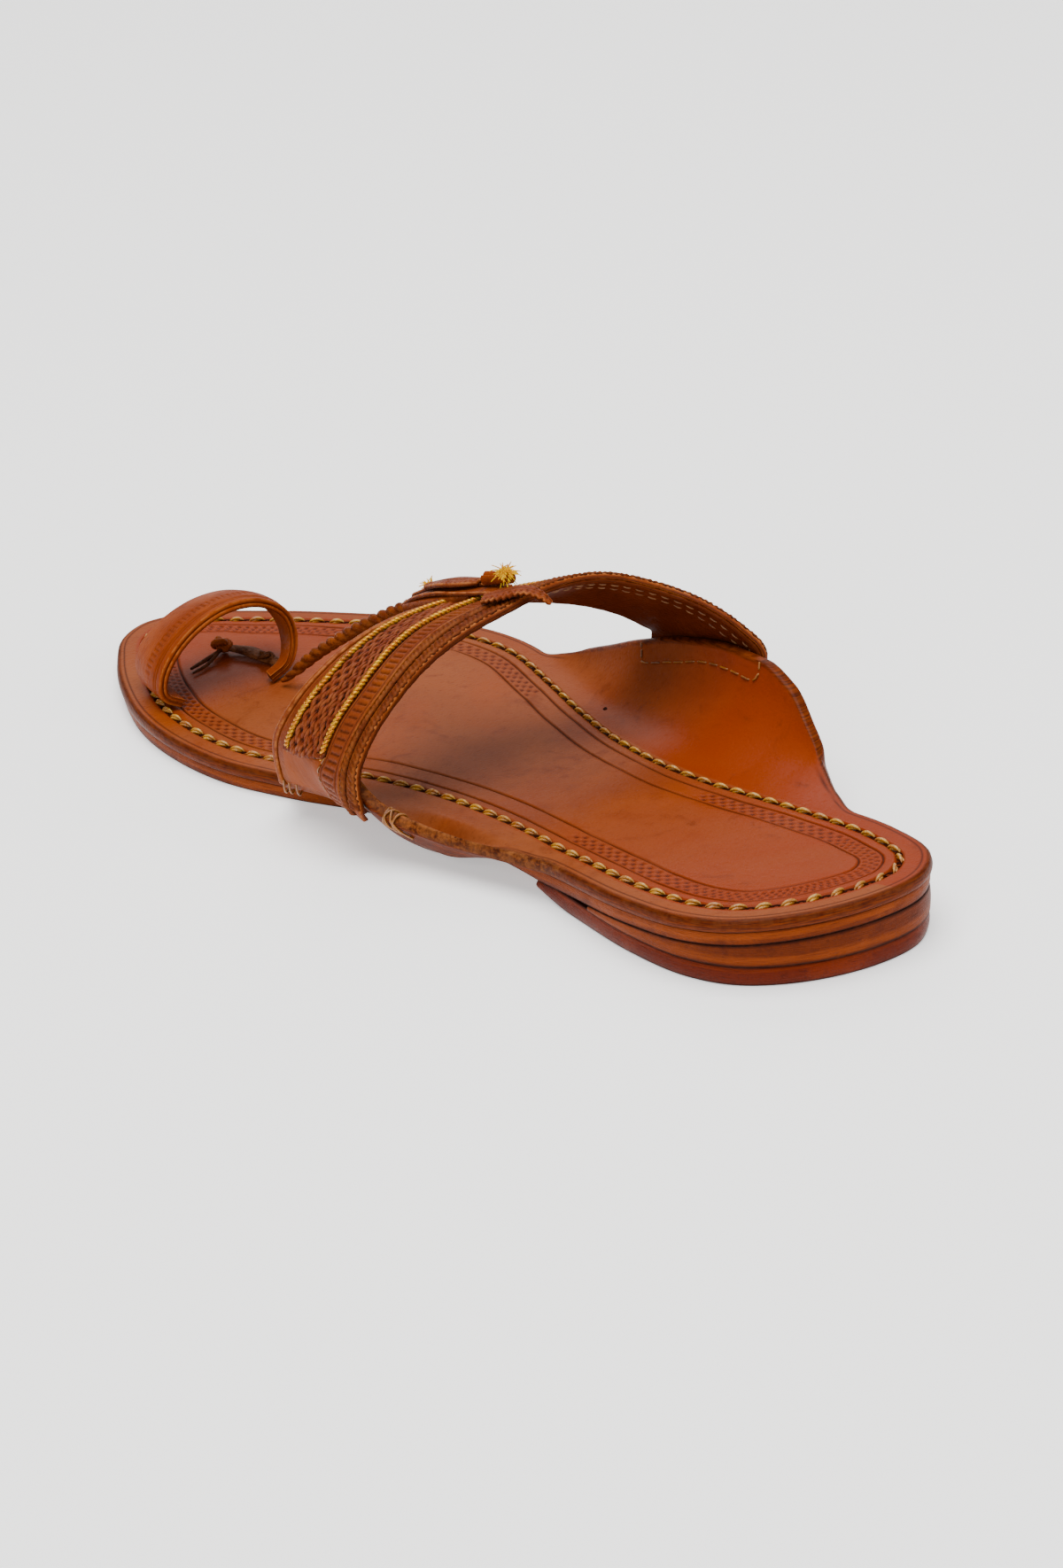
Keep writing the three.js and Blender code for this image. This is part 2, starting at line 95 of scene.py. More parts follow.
away = np.array([math.sin(TURN) * math.cos(LIFT), -math.cos(TURN) * math.cos(LIFT), math.sin(LIFT)])
camera_data = bpy.data.cameras.new("camera")
camera_data.lens = LENS
camera_data.clip_start = 0.01
camera = from_pose("camera", camera_data, look(AIM + DISTANCE * away, AIM, ROLL))
bpy.context.scene.camera = camera
print("camera at", np.round(AIM + DISTANCE * away, 3))

# %% Lamps, sky and floor
LAMPS = [
    # name, place, width, depth, watts, colour
    ("lamp_behind", (-0.75, -1.05, 1.05), 1.3, 1.0, 10, (1.0, 0.985, 0.965)),
    ("lamp_overhead", (0.15, 0.1, 1.7), 1.5, 1.5, 48, (1.0, 0.99, 0.98)),
    ("lamp_beside", (1.35, 0.75, 0.75), 1.0, 1.0, 10, (1.0, 0.985, 0.97)),
    ("lamp_heel", (-0.6, 1.3, 0.7), 0.8, 0.9, 8, (1.0, 0.985, 0.97)),
]
for name, place, width, depth, watts, colour in LAMPS:
    lamp = bpy.data.lights.new(name, "AREA")
    lamp.shape = "RECTANGLE"
    lamp.size, lamp.size_y = width, depth
    lamp.energy = watts
    lamp.color = colour
    from_pose(name, lamp, look(np.array(place), np.array([0, 0, 0.02])))

world = bpy.data.worlds.new("studio")
bpy.context.scene.world = world
world.use_nodes = True
world.node_tree.nodes["Background"].inputs["Color"].default_value = (1, 1, 1, 1)
world.node_tree.nodes["Background"].inputs["Strength"].default_value = 0.3


def floor():
    """A wide sheet of plain matt white, lit a little from below as a light table is."""
    mesh = bpy.data.meshes.new("floor")
    far, low = 9.0, -0.0001
    corners = [(-far, -far, low), (far, -far, low), (far, far, low), (-far, far, low)]
    mesh.from_pydata(corners, [], [(0, 1, 2, 3)])
    made = bpy.data.objects.new("floor", mesh)
    bpy.context.scene.collection.objects.link(made)
    paper = bpy.data.materials.new("floor_paper")
    paper.use_nodes = True
    shader = paper.node_tree.nodes["Principled BSDF"]
    settings = {"Base Color": (0.96, 0.96, 0.955, 1), "Roughness": 0.9, "Specular IOR Level": 0.05,
                "Emission Color": (1, 1, 1, 1), "Emission Strength": 0.5}
    for name, value in settings.items():
        shader.inputs[name].default_value = value
    mesh.materials.append(paper)


floor()
print("lamps:", len(LAMPS))

# %% [markdown]
# ## Small tools for shapes
# Everything is drawn in millimetres in the maker's own frame: the toe points to minus y, the inner
# side of the foot is plus x, and the floor is z = 0. A short table of measured places is turned
# into a smooth curve, and curves are then carried along each other to give surfaces.

# %% Curves through points
def smooth(a, b, v):
    """Zero below a, one above b, and 3t^2 - 2t^3 between them."""
    t = np.clip((v - a) / (b - a), 0, 1)
    return t * t * (3 - 2 * t)


def window(a, b, c, d, v):
    """Rises from 0 to 1 between a and b, and falls back to 0 between c and d."""
    return smooth(a, b, v) * (1 - smooth(c, d, v))


def ridge(v, at, half, power=2):
    """1 at a place and fading on both sides of it, as e to the -(distance / half)^power."""
    return np.exp(-(((v - at) / half) ** power))


def hermite(t, p1, m1, p2, m2):
    """The cubic that leaves p1 with slope m1 and reaches p2 with slope m2."""
    return ((2 * t**3 - 3 * t**2 + 1) * p1 + (t**3 - 2 * t**2 + t) * m1
            + (3 * t**2 - 2 * t**3) * p2 + (t**3 - t**2) * m2)


def along(rows, key):
    """Reads a table at `key`: a monotone cubic per column, whose slope at a row is the harmonic
    mean of the slopes on its two sides, and zero where they disagree in sign."""
    rows = np.asarray(rows, float)
    keys, values = rows[:, 0], rows[:, 1:]
    gap = np.diff(keys)[:, None]
    slope = np.diff(values, axis=0) / gap
    both = slope[:-1] * slope[1:]
    total = slope[:-1] + slope[1:]
    tangent = np.zeros_like(values)
    tangent[1:-1] = np.where(both > 0, 2 * both / np.where(both > 0, total, 1), 0)
    key = np.clip(key, keys[0], keys[-1])
    i = np.clip(np.searchsorted(keys, key, side="right") - 1, 0, len(keys) - 2)
    t = ((key - keys[i]) / gap[i, 0])[..., None]
    return hermite(t, values[i], tangent[i] * gap[i], values[i + 1], tangent[i + 1] * gap[i])


def curve_through(points, samples=24, closed=False):
    """A centripetal Catmull-Rom curve: between two points it is a cubic whose end slopes come
    from the neighbours, with the root of each chord as the time it takes. Works on many curves."""
    p = np.asarray(points, float)
    if closed:
        p = np.concatenate([p[..., -1:, :], p, p[..., :2, :]], axis=-2)
    else:
        first = 2 * p[..., :1, :] - p[..., 1:2, :]
        last = 2 * p[..., -1:, :] - p[..., -2:-1, :]
        p = np.concatenate([first, p, last], axis=-2)
    p0, p1, p2, p3 = p[..., :-3, :], p[..., 1:-2, :], p[..., 2:-1, :], p[..., 3:, :]
    time = [np.sqrt(np.linalg.norm(b - a, axis=-1, keepdims=True)) + 1e-9
            for a, b in ((p0, p1), (p1, p2), (p2, p3))]
    m1 = time[1] * ((p1 - p0) / time[0] - (p2 - p0) / (time[0] + time[1]) + (p2 - p1) / time[1])
    m2 = time[1] * ((p2 - p1) / time[1] - (p3 - p1) / (time[1] + time[2]) + (p3 - p2) / time[2])
    t = (np.arange(samples) / samples)[:, None]
    spans = hermite(t, p1[..., None, :], m1[..., None, :], p2[..., None, :], m2[..., None, :])
    line = spans.reshape(*spans.shape[:-3], -1, spans.shape[-1])
    return line if closed else np.concatenate([line, np.asarray(points, float)[..., -1:, :]], axis=-2)


def lengths(line):
    """How far along a line each of its points is."""
    steps = np.linalg.norm(np.diff(line, axis=0), axis=1)
    return np.concatenate([[0], np.cumsum(steps)])


def spaced(line, count):
    """The same line with `count` points an equal distance apart."""
    far = lengths(line)
    want = np.linspace(0, far[-1], count)
    return np.stack([np.interp(want, far, line[:, k]) for k in range(line.shape[1])], axis=1)


def ripple(x, y=0.0, seed=0.0):
    """A soft repeatable unevenness in -1..1: five sine waves that never fall in step."""
    total = 0
    for k in range(5):
        a = 1.7 + 1.31 * k + 0.37 * math.sin(seed + 2.1 * k)
        b = 1.1 + 1.73 * k + 0.41 * math.cos(seed + 1.3 * k)
        total = total + np.sin(a * x + b * y + seed * (k + 1)) / (1.6 + 0.5 * k)
    return total / 2.0


print("a quarter of the way up the step:", float(smooth(0, 1, 0.25)))

# %% [markdown]
# ## Small tools for meshes
# A piece is one or more grids of points, and each grid is sewn into a skin of four-sided cells.
# Where a skin has to close, its border points fall on each other and are welded. The volume a
# skin encloses is signed, so a negative one says that it is inside out and is turned round.

# %% Skins from grids
def cells(n, m, wrap_n=False, wrap_m=False):
    """Corner numbers of the cells of an n by m grid, wrapping round where it is asked to."""
    i = np.arange(n if wrap_n else n - 1)[:, None]
    j = np.arange(m if wrap_m else m - 1)[None, :]
    i2, j2 = (i + 1) % n, (j + 1) % m
    return np.stack([i * m + j, i2 * m + j, i2 * m + j2, i * m + j2], axis=-1).reshape(-1, 4)


def volume(points, faces):
    """Six times the signed volume inside a skin: the sum of a.(b x c) over its triangles."""
    a, b, c, d = (points[faces[:, k]] for k in range(4))
    return np.sum(a * np.cross(b, c)) + np.sum(a * np.cross(c, d))


class Skin:
    """Grids gathered for one object: points in millimetres, cells, and marks on the points."""

    def __init__(self):
        self.points, self.faces, self.marks, self.count = [], [], {}, 0

    def add(self, grid, wrap_n=False, wrap_m=False, **marks):
        """Adds grids of shape (..., n, m, 3). A mark is a number for every point."""
        grid = np.asarray(grid, float)
        n, m = grid.shape[-3:-1]
        many = grid.reshape(-1, n * m, 3)
        faces = cells(n, m, wrap_n, wrap_m)
        if volume(many[0] - many[0].mean(axis=0), faces) < 0:
            faces = faces[:, ::-1]
        starts = self.count + np.arange(len(many))[:, None, None] * n * m
        self.points.append(many.reshape(-1, 3))
        self.faces.append((faces[None] + starts).reshape(-1, 4))
        size = len(many) * n * m
        for name in set(marks) | set(self.marks):
            self.marks.setdefault(name, [np.zeros(self.count)])
            value = np.broadcast_to(marks.get(name, 0.0), grid.shape[:-1])
            self.marks[name].append(value.reshape(-1))
        self.count += size
        return self

    def make(self, name, finish, slot, *nodes):
        """Welds the skin into one object that rides on the sandal and takes a finish."""
        mesh = bpy.data.meshes.new(name)
        points = np.concatenate(self.points)
        points = (points + SHIFT) * MM
        faces = np.concatenate(self.faces).astype(np.int32)
        mesh.vertices.add(len(points))
        mesh.vertices.foreach_set("co", points.astype(np.float32).ravel())
        mesh.loops.add(faces.size)
        mesh.loops.foreach_set("vertex_index", faces.ravel())
        mesh.polygons.add(len(faces))
        mesh.polygons.foreach_set("loop_start", np.arange(0, faces.size, 4, dtype=np.int32))
        mesh.polygons.foreach_set("use_smooth", np.ones(len(faces), bool))
        mesh.update(calc_edges=True)
        for mark, values in self.marks.items():
            layer = mesh.attributes.new(mark, "FLOAT", "POINT")
            layer.data.foreach_set("value", np.concatenate(values).astype(np.float32))
        close(mesh)
        made = bpy.data.objects.new(name, mesh)
        bpy.context.scene.collection.objects.link(made)
        mesh.materials.append(finish)
        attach(made, "root")
        if nodes:
            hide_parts(*nodes)
        triangles = sum(len(p.vertices) - 2 for p in mesh.polygons)
        print(f"{name}: {triangles} triangles")
        return made


def close(mesh):
    """Welds points that fall on each other, which closes seams and poles."""
    import bmesh

    work = bmesh.new()
    work.from_mesh(mesh)
    bmesh.ops.remove_doubles(work, verts=work.verts, dist=2e-6)
    bmesh.ops.dissolve_degenerate(work, edges=work.edges, dist=1e-7)
    work.to_mesh(mesh)
    work.free()


SHIFT = np.zeros(3)  # from the maker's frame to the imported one, found from the outsole below
print("cells of a 3 by 4 grid:", len(cells(3, 4)))

# %% Slabs of leather and cords of thread
def crowded(length, step, lip):
    """Places from 0 to `length` about `step` apart, closer together on the lip of each edge."""
    lead = lip * np.array([0, 0.03, 0.13, 0.33, 0.62])
    inner = np.linspace(lip, length - lip, max(int((length - 2 * lip) / step), 2) + 1)
    return np.concatenate([lead, inner, length - lead[::-1]])


def lip_height(distance, lip, sharpness=2.6):
    """A cut edge's profile: (1 - (1 - d/lip)^p)^(1/p), 0 at the very edge and 1 past the lip."""
    t = 1 - np.clip(distance / lip, 0, 1)
    return (1 - t**sharpness) ** (1 / sharpness)


def normals_of(grid):
    """Unit normals of a grid of points: the cross product of its two directions."""
    return unit(np.cross(np.gradient(grid, axis=0), np.gradient(grid, axis=1)))


def across_of(line, beside):
    """Two unit directions square to a line's own: one near `beside`, one the other way."""
    tangent = unit(np.gradient(line, axis=-2))
    side = unit(beside - tangent * np.sum(beside * tangent, axis=-1, keepdims=True))
    return side, np.cross(tangent, side)


def capped(line, radius):
    """A line and its radius with three more points at each end that round the ends off."""
    bend = np.radians([90, 62, 30])
    radius = np.broadcast_to(radius, line.shape[:-1])
    first = unit(line[..., :1, :] - line[..., 1:2, :])
    last = unit(line[..., -1:, :] - line[..., -2:-1, :])
    head = line[..., :1, :] + first * (radius[..., :1] * np.sin(bend))[..., None]
    tail = line[..., -1:, :] + last * (radius[..., -1:] * np.sin(bend[::-1]))[..., None]
    return (np.concatenate([head, line, tail], axis=-2),
            np.concatenate([radius[..., :1] * np.cos(bend) + 1e-6, radius,
                            radius[..., -1:] * np.cos(bend[::-1]) + 1e-6], axis=-1))


def tube(line, radius, beside=(0, 0, 1), sides=10, flat=1.0):
    """A closed cord: at each point a ring of `sides` points, radius (cos a, flat sin a) in the
    two directions square to the line."""
    line, radius = capped(np.asarray(line, float), radius)
    side, other = across_of(line, np.asarray(beside, float))
    a = (np.arange(sides) * 2 * np.pi / sides)[:, None]
    ring = side[..., None, :] * np.cos(a) + other[..., None, :] * (flat * np.sin(a))
    return line[..., None, :] + radius[..., None, None] * ring


def plies(line, radius, pitch, beside=(0, 0, 1)):
    """The middle lines of a cord's two plies: each runs round the cord's own line at a distance
    `radius`, once in every `pitch`, half a turn after the other."""
    side, other = across_of(line, np.asarray(beside, float))
    angle = 2 * np.pi * lengths(line) / pitch + np.pi * np.arange(2)[:, None]
    return line + radius * (side * np.cos(angle)[..., None] + other * np.sin(angle)[..., None])


print("a 20 mm edge has places at", np.round(crowded(20, 5, 1), 2))

# %% [markdown]
# ## Leather, thread and metal yarn
# Vegetable-tanned leather drinks oil unevenly: clouds of lighter and darker brown, darker where
# hands and feet rub, a fine grain of pores, and a burnish that makes cut edges dark and glossy.
# Those effects are built once as node groups with named inputs and used in every finish. Two
# marks on the points steer them: `shade` darkens recesses and `rub` lightens worn edges.

# %% Node helpers
def node(tree, kind, inputs=None, **settings):
    """One shader node. Inputs are given by name or number, as values or as other sockets."""
    made = tree.nodes.new("ShaderNode" + kind)
    for key, value in settings.items():
        setattr(made, key, value)
    for key, value in (inputs or {}).items():
        if isinstance(value, bpy.types.NodeSocket):
            tree.links.new(value, made.inputs[key])
        else:
            made.inputs[key].default_value = value
    return made


def sums(tree, operation, a, b, clamp=False):
    """The output of a Math node."""
    return node(tree, "Math", {0: a, 1: b}, operation=operation, use_clamp=clamp).outputs[0]


def times(tree, a, b):
    """The product of two values."""
    return sums(tree, "MULTIPLY", a, b)


def blend_of(tree, factor, a, b):
    """Two colours mixed."""
    return node(tree, "Mix", {0: factor, 6: a, 7: b}, data_type="RGBA").outputs[2]


def ramp(tree, value, low, high, out_low=0.0, out_high=1.0):
    """A value stretched from low..high to out_low..out_high and held there."""
    made = node(tree, "MapRange", {0: value, 1: low, 2: high, 3: out_low, 4: out_high},
                interpolation_type="SMOOTHSTEP")
    return made.outputs[0]


def noise(tree, where, scale, detail=3.0, rough=0.55, warp=0.0):
    """Soft clouds in 0..1."""
    made = node(tree, "TexNoise", {"Vector": where, "Scale": scale, "Detail": detail,
                                   "Roughness": rough, "Distortion": warp})
    return made.outputs[0]


def mark_of(tree, name):
    """A mark that the points carry."""
    return node(tree, "Attribute", attribute_name=name).outputs["Fac"]


def group_of(name, inputs, outputs):
    """An empty shader node group with named sockets."""
    tree = bpy.data.node_groups.new(name, "ShaderNodeTree")
    for label, kind, value in inputs:
        socket = tree.interface.new_socket(label, in_out="INPUT", socket_type="NodeSocket" + kind)
        if value is not None:
            socket.default_value = value
    for label, kind in outputs:
        tree.interface.new_socket(label, in_out="OUTPUT", socket_type="NodeSocket" + kind)
    return tree, tree.nodes.new("NodeGroupInput").outputs, tree.nodes.new("NodeGroupOutput")


def fill(made, **inputs):
    """Gives a node its inputs, as values or as other sockets; underscores stand for spaces."""
    for key, value in inputs.items():
        socket = made.inputs[key.replace("_", " ")]
        if isinstance(value, bpy.types.NodeSocket):
            made.id_data.links.new(value, socket)
        else:
            socket.default_value = value


def use(tree, group, **inputs):
    """Places a node group and gives its inputs."""
    made = tree.nodes.new("ShaderNodeGroup")
    made.node_tree = group
    fill(made, **inputs)
    return made.outputs


def bumped(tree, height, strength, distance):
    """A surface normal tilted by a height."""
    return node(tree, "Bump", {"Strength": strength, "Distance": distance, "Height": height}).outputs[0]


# %% The shared effects
def patina_group():
    """Leather's uneven colour: wide clouds between the two tones, then small dark blotches."""
    tree, given, result = group_of(
        "patina", [("Where", "Vector", None), ("Tone", "Color", (0.5, 0.2, 0.08, 1)),
                   ("Deep", "Color", (0.2, 0.06, 0.02, 1)), ("Warm", "Color", (0.7, 0.3, 0.08, 1)),
                   ("Cloud Size", "Float", 40.0), ("Blotches", "Float", 0.4)],
        [("Color", "Color"), ("Cloud", "Float")])
    wide = noise(tree, given["Where"], given["Cloud Size"], 4.0, 0.55, 0.6)
    small = noise(tree, given["Where"], times(tree, given["Cloud Size"], 5.3), 5.0, 0.62)
    fine = noise(tree, given["Where"], times(tree, given["Cloud Size"], 26.0), 3.0, 0.6)
    warm = blend_of(tree, ramp(tree, wide, 0.42, 0.7, 0.0, 0.75), given["Tone"], given["Warm"])
    spots = times(tree, ramp(tree, small, 0.5, 0.76), given["Blotches"])
    deep = blend_of(tree, spots, warm, given["Deep"])
    speck = times(tree, ramp(tree, fine, 0.5, 0.8), times(tree, given["Blotches"], 0.6))
    fill(result, Color=blend_of(tree, speck, deep, given["Deep"]), Cloud=wide)
    return tree


def grain_group():
    """The skin's grain: small cells with raised middles, fine creases, and hair pores."""
    tree, given, result = group_of(
        "grain", [("Where", "Vector", None), ("Cell Size", "Float", 1500.0)],
        [("Height", "Float"), ("Pores", "Float")])
    cell = node(tree, "TexVoronoi", {"Vector": given["Where"], "Scale": given["Cell Size"]},
                feature="SMOOTH_F1").outputs["Distance"]
    crease = noise(tree, given["Where"], times(tree, given["Cell Size"], 0.22), 5.0, 0.65, 1.2)
    pore = node(tree, "TexVoronoi", {"Vector": given["Where"],
                                     "Scale": times(tree, given["Cell Size"], 0.45)}).outputs["Distance"]
    pores = ramp(tree, pore, 0.12, 0.28, 1.0, 0.0)
    height = sums(tree, "SUBTRACT", times(tree, crease, 1.1), times(tree, cell, 0.55))
    fill(result, Height=sums(tree, "SUBTRACT", height, times(tree, pores, 0.35)), Pores=pores)
    return tree


def shade_and_wear_group():
    """Painted shade and edge wear: `Shade` darkens towards a dark colour, as painted shade in recesses
    and as darker joints and cut edges, `Rub` lightens, and both are broken up by noise so that they
    never end in a clean line."""
    tree, given, result = group_of(
        "painted shade and edge wear", [("Where", "Vector", None), ("Color", "Color", (0.5, 0.2, 0.1, 1)),
                      ("Dirt", "Color", (0.05, 0.02, 0.01, 1)), ("Worn", "Color", (0.8, 0.45, 0.2, 1)),
                      ("Shade", "Float", 0.0), ("Rub", "Float", 0.0)],
        [("Color", "Color"), ("Rough", "Float")])
    broken = noise(tree, given["Where"], 420.0, 4.0, 0.65)
    shade = sums(tree, "MULTIPLY", given["Shade"], ramp(tree, broken, 0.25, 0.6, 0.72, 1.0), clamp=True)
    rub = sums(tree, "MULTIPLY", given["Rub"], ramp(tree, broken, 0.35, 0.62), clamp=True)
    # Painted shade in recesses, and darker joints and cut edges, by the Shade mark.
    dirty_and_shaded = blend_of(tree, shade, given["Color"], given["Dirt"])
    rough = sums(tree, "SUBTRACT", times(tree, shade, 0.25), times(tree, rub, 0.06))
    fill(result, Color=blend_of(tree, rub, dirty_and_shaded, given["Worn"]), Rough=rough)
    return tree


PATINA, GRAIN, SHADE_AND_WEAR = patina_group(), grain_group(), shade_and_wear_group()
print("shared effects:", [g.name for g in (PATINA, GRAIN, SHADE_AND_WEAR)])

# %% A leather finish
DYE, SOAK = 1.12, 0.55  # oiled leather is purer and deeper in colour than it looks under a lamp
WAXED, DULL = 0.15, 0.05  # hand-rubbed leather shines little: a thin coat, and few mirror reflections


def rgb(red, green, blue):
    """A colour given as it looks on a screen, 0 to 255, turned into linear light."""
    v = np.array([red, green, blue]) / 255
    v = np.where(v <= 0.04045, v / 12.92, ((v + 0.055) / 1.055) ** 2.4)
    grey = v @ [0.25, 0.65, 0.1]
    v = np.clip(grey + (v - grey) * DYE, 0.001, 1) * SOAK
    return (*[float(x) for x in v], 1.0)


def finish_of(name):
    """A material's tree with its shader and the object's own coordinates."""
    made = bpy.data.materials.new(name)
    made.use_nodes = True
    tree = made.node_tree
    shader = tree.nodes["Principled BSDF"]
    return made, tree, shader, node(tree, "TexCoord").outputs["Object"]


def leather(name, tone, deep, warm, rough=0.42, cloud=38.0, blotches=0.4, cell=1500.0,
            depth=0.35, worn=None, dirt_and_shade=None, coat=0.15, extra=None):
    """Vegetable-tanned leather, its colours given as on a screen. `extra` may add a pattern: it is
    given the tree, the place, the colour, the height and the roughness, and gives back the last
    three."""
    tone, deep, warm, worn, dirt_and_shade = (rgb(*c) for c in (tone, deep, warm, worn or warm, dirt_and_shade or deep))
    made, tree, shader, where = finish_of(name)
    patina = use(tree, PATINA, Where=where, Tone=tone, Deep=deep, Warm=warm,
                 Cloud_Size=cloud, Blotches=blotches)
    grain = use(tree, GRAIN, Where=where, Cell_Size=cell)
    colour = blend_of(tree, times(tree, grain["Pores"], 0.22), patina["Color"], deep)
    height = grain["Height"]
    gloss = ramp(tree, patina["Cloud"], 0.3, 0.75, rough + 0.07, rough - 0.07)
    if extra:
        colour, height, gloss = extra(tree, where, colour, height, gloss)
    # The colour that comes back carries painted shade where the `shade` mark is set, and edge wear where
    # `rub` is set.
    wear = use(tree, SHADE_AND_WEAR, Where=where, Color=colour, Dirt=dirt_and_shade, Worn=worn,
               Shade=mark_of(tree, "shade"), Rub=mark_of(tree, "rub"))
    fill(shader, Base_Color=wear["Color"], Roughness=sums(tree, "ADD", gloss, wear["Rough"], clamp=True),
         Normal=bumped(tree, height, depth, 0.0004), Coat_Weight=coat * WAXED, Coat_Roughness=0.3,
         Specular_IOR_Level=DULL)
    return made


print("deep brown in linear light:", np.round(rgb(60, 22, 10), 3))

# %% [markdown]
# ## The sole's outline
# The outline is drawn once, as the maker cuts it: a closed curve through a few places from the toe
# tip round the inner side. It is then split at the toe and at the back of the heel. The packed
# model stands with its middle at the origin, so the outsole's box says how far to shift a drawing.

# %% Outline and heights
SOLE_EDGE = [(15, -137), (25, -132.5), (34, -120.5), (42, -105), (48.4, -86), (50.6, -66), (48.8, -46),
             (42, -26), (34.2, -8), (30.4, 12), (29.8, 38), (31, 68), (32.5, 94), (30.5, 112.5),
             (24.5, 124.5), (12, 134), (-4, 138.8), (-17.6, 137.6), (-27.2, 129.4), (-31.4, 113),
             (-31.6, 92), (-29.8, 64), (-28.4, 44), (-31.2, 22), (-36.8, 0), (-43, -22), (-48.2, -46),
             (-46.6, -64), (-38.5, -84), (-26.5, -102), (-12, -119.5), (2, -132.5)]
INSOLE_T, OUTSOLE_T, GAP = 3.0, 3.1, 0.3
BASE_TOP = 4.8

OUTLINE = curve_through(SOLE_EDGE, 40, closed=True)
TOE, BACK = OUTLINE[:, 1].argmin(), OUTLINE[:, 1].argmax()
COUNT = len(OUTLINE)
INNER = OUTLINE[(TOE + np.arange((BACK - TOE) % COUNT + 1)) % COUNT]
OUTER = OUTLINE[(TOE - np.arange((TOE - BACK) % COUNT + 1)) % COUNT]


def underside(y):
    """Height of the outsole's underside: a soft rise at the waist and then the heel's wedge."""
    return 4.6 * smooth(-20, 60, y) + 6.8 * np.clip((y - 60) / 78, 0, 1.1)


def footbed(y):
    """Height of the leather that the foot stands on."""
    return underside(y) + OUTSOLE_T + GAP + INSOLE_T


def edge_x(inner, y):
    """How far out the sole's edge is at y, on the inner or the outer side."""
    side = INNER if inner else OUTER
    return np.interp(y, side[:, 1], side[:, 0])


low, high = (np.array(p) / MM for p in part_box("outsole"))
INSET = 0.7
SHIFT = np.array([(low[0] + high[0]) / 2 - (OUTLINE[:, 0].min() + OUTLINE[:, 0].max()) / 2,
                  (low[1] + high[1]) / 2 - (INNER[0, 1] + INNER[-1, 1]) / 2, 0])
print("shift of the drawing, mm:", np.round(SHIFT, 3))

# %% Stations round a closed outline
FOLD_IN = 5.0
EAR_TURN = math.radians(80)


def squeezed(y, start, room, sign):
    """Leaves y alone up to `start` and then lets it run at most `room` further, as 1 - e^-t."""
    past = np.maximum(sign * (y - start), 0)
    return y - sign * past + sign * room * (1 - np.exp(-past / room))


class Ring:
    """Stations up the outer side from the front and back down the inner side. Each has an edge
    point, a way inward, and a place on the middle line, shared with the station across."""

    def __init__(self, outer, inner, half, front_start, front_room):
        outer, inner = spaced(outer, half + 1), spaced(inner, half + 1)
        y = (outer[:, 1] + inner[:, 1]) / 2
        y = squeezed(squeezed(y, front_start, front_room, -1), 98, 14, 1)
        middle = np.stack([(edge_x(True, y) + edge_x(False, y)) / 2, y], axis=1)
        self.edge = np.concatenate([outer, inner[-2:0:-1]])
        self.middle = np.concatenate([middle, middle[-2:0:-1]])
        tangent = unit(np.roll(self.edge, -1, axis=0) - np.roll(self.edge, 1, axis=0))
        square = np.stack([tangent[:, 1], -tangent[:, 0]], axis=1)
        square *= np.sign(np.sum(square * (self.middle - self.edge), axis=1))[:, None]
        y = self.edge[:, 1]
        level = window(front_start - 20, front_start + 10, 100, 118, y)[:, None]
        straight = np.stack([np.sign(self.middle[:, 0] - self.edge[:, 0]), 0 * y], axis=1)
        self.inward = unit(unit(self.middle - self.edge) * (1 - level) + straight * level)
        self.slant = np.maximum(np.sum(self.inward * square, axis=1), 0.3)
        self.on_inner = np.concatenate([np.zeros(half + 1), np.ones(half - 1)])
        share = np.concatenate([np.arange(half + 1), np.arange(half - 1, 0, -1)]) / half
        self.run = share * np.linalg.norm(np.diff(outer, axis=0), axis=1).sum()

    def plan(self, depths, steps):
        """Places at given depths inside the edge, and then `steps` more to the middle line."""
        depths = np.asarray(depths, float)[None, :] / self.slant[:, None]
        near = self.edge[:, None] + self.inward[:, None] * depths[..., None]
        share = (np.arange(1, steps + 1) / steps)[None, :, None]
        rest = near[:, -1:] * (1 - share) + self.middle[:, None] * share
        return np.concatenate([near, rest], axis=1)


SOLE = Ring(OUTER, INNER, 520, -60, 38)
print("stations:", len(SOLE.edge), "each side, mm:", round(float(SOLE.run.max()), 1))

# %% [markdown]
# ## Outsole and heel
# Under the insole lie a thick outsole and, at the heel, a thin wedge and a glossy bottom piece,
# pasted and nailed in a stack, then rasped and burnished together. The stack's edge is what is
# seen: dark red-brown, with a lighter streak where the rasp cut into paler fibre, and thin dark
# lines where two layers meet. Each layer is a ring of profiles: in along its top, down a slightly
# swollen wall with rounded corners, and back in along its bottom.

# %% The burnished edge finish
def flow_of(tree, along_edge, up_edge):
    """A place made of the marks `run` and `up`, each scaled, so that noise is drawn out in fibres."""
    run, up = mark_of(tree, "run"), mark_of(tree, "up")
    place = {0: times(tree, run, along_edge), 1: times(tree, up, up_edge)}
    return node(tree, "CombineXYZ", place).outputs[0]


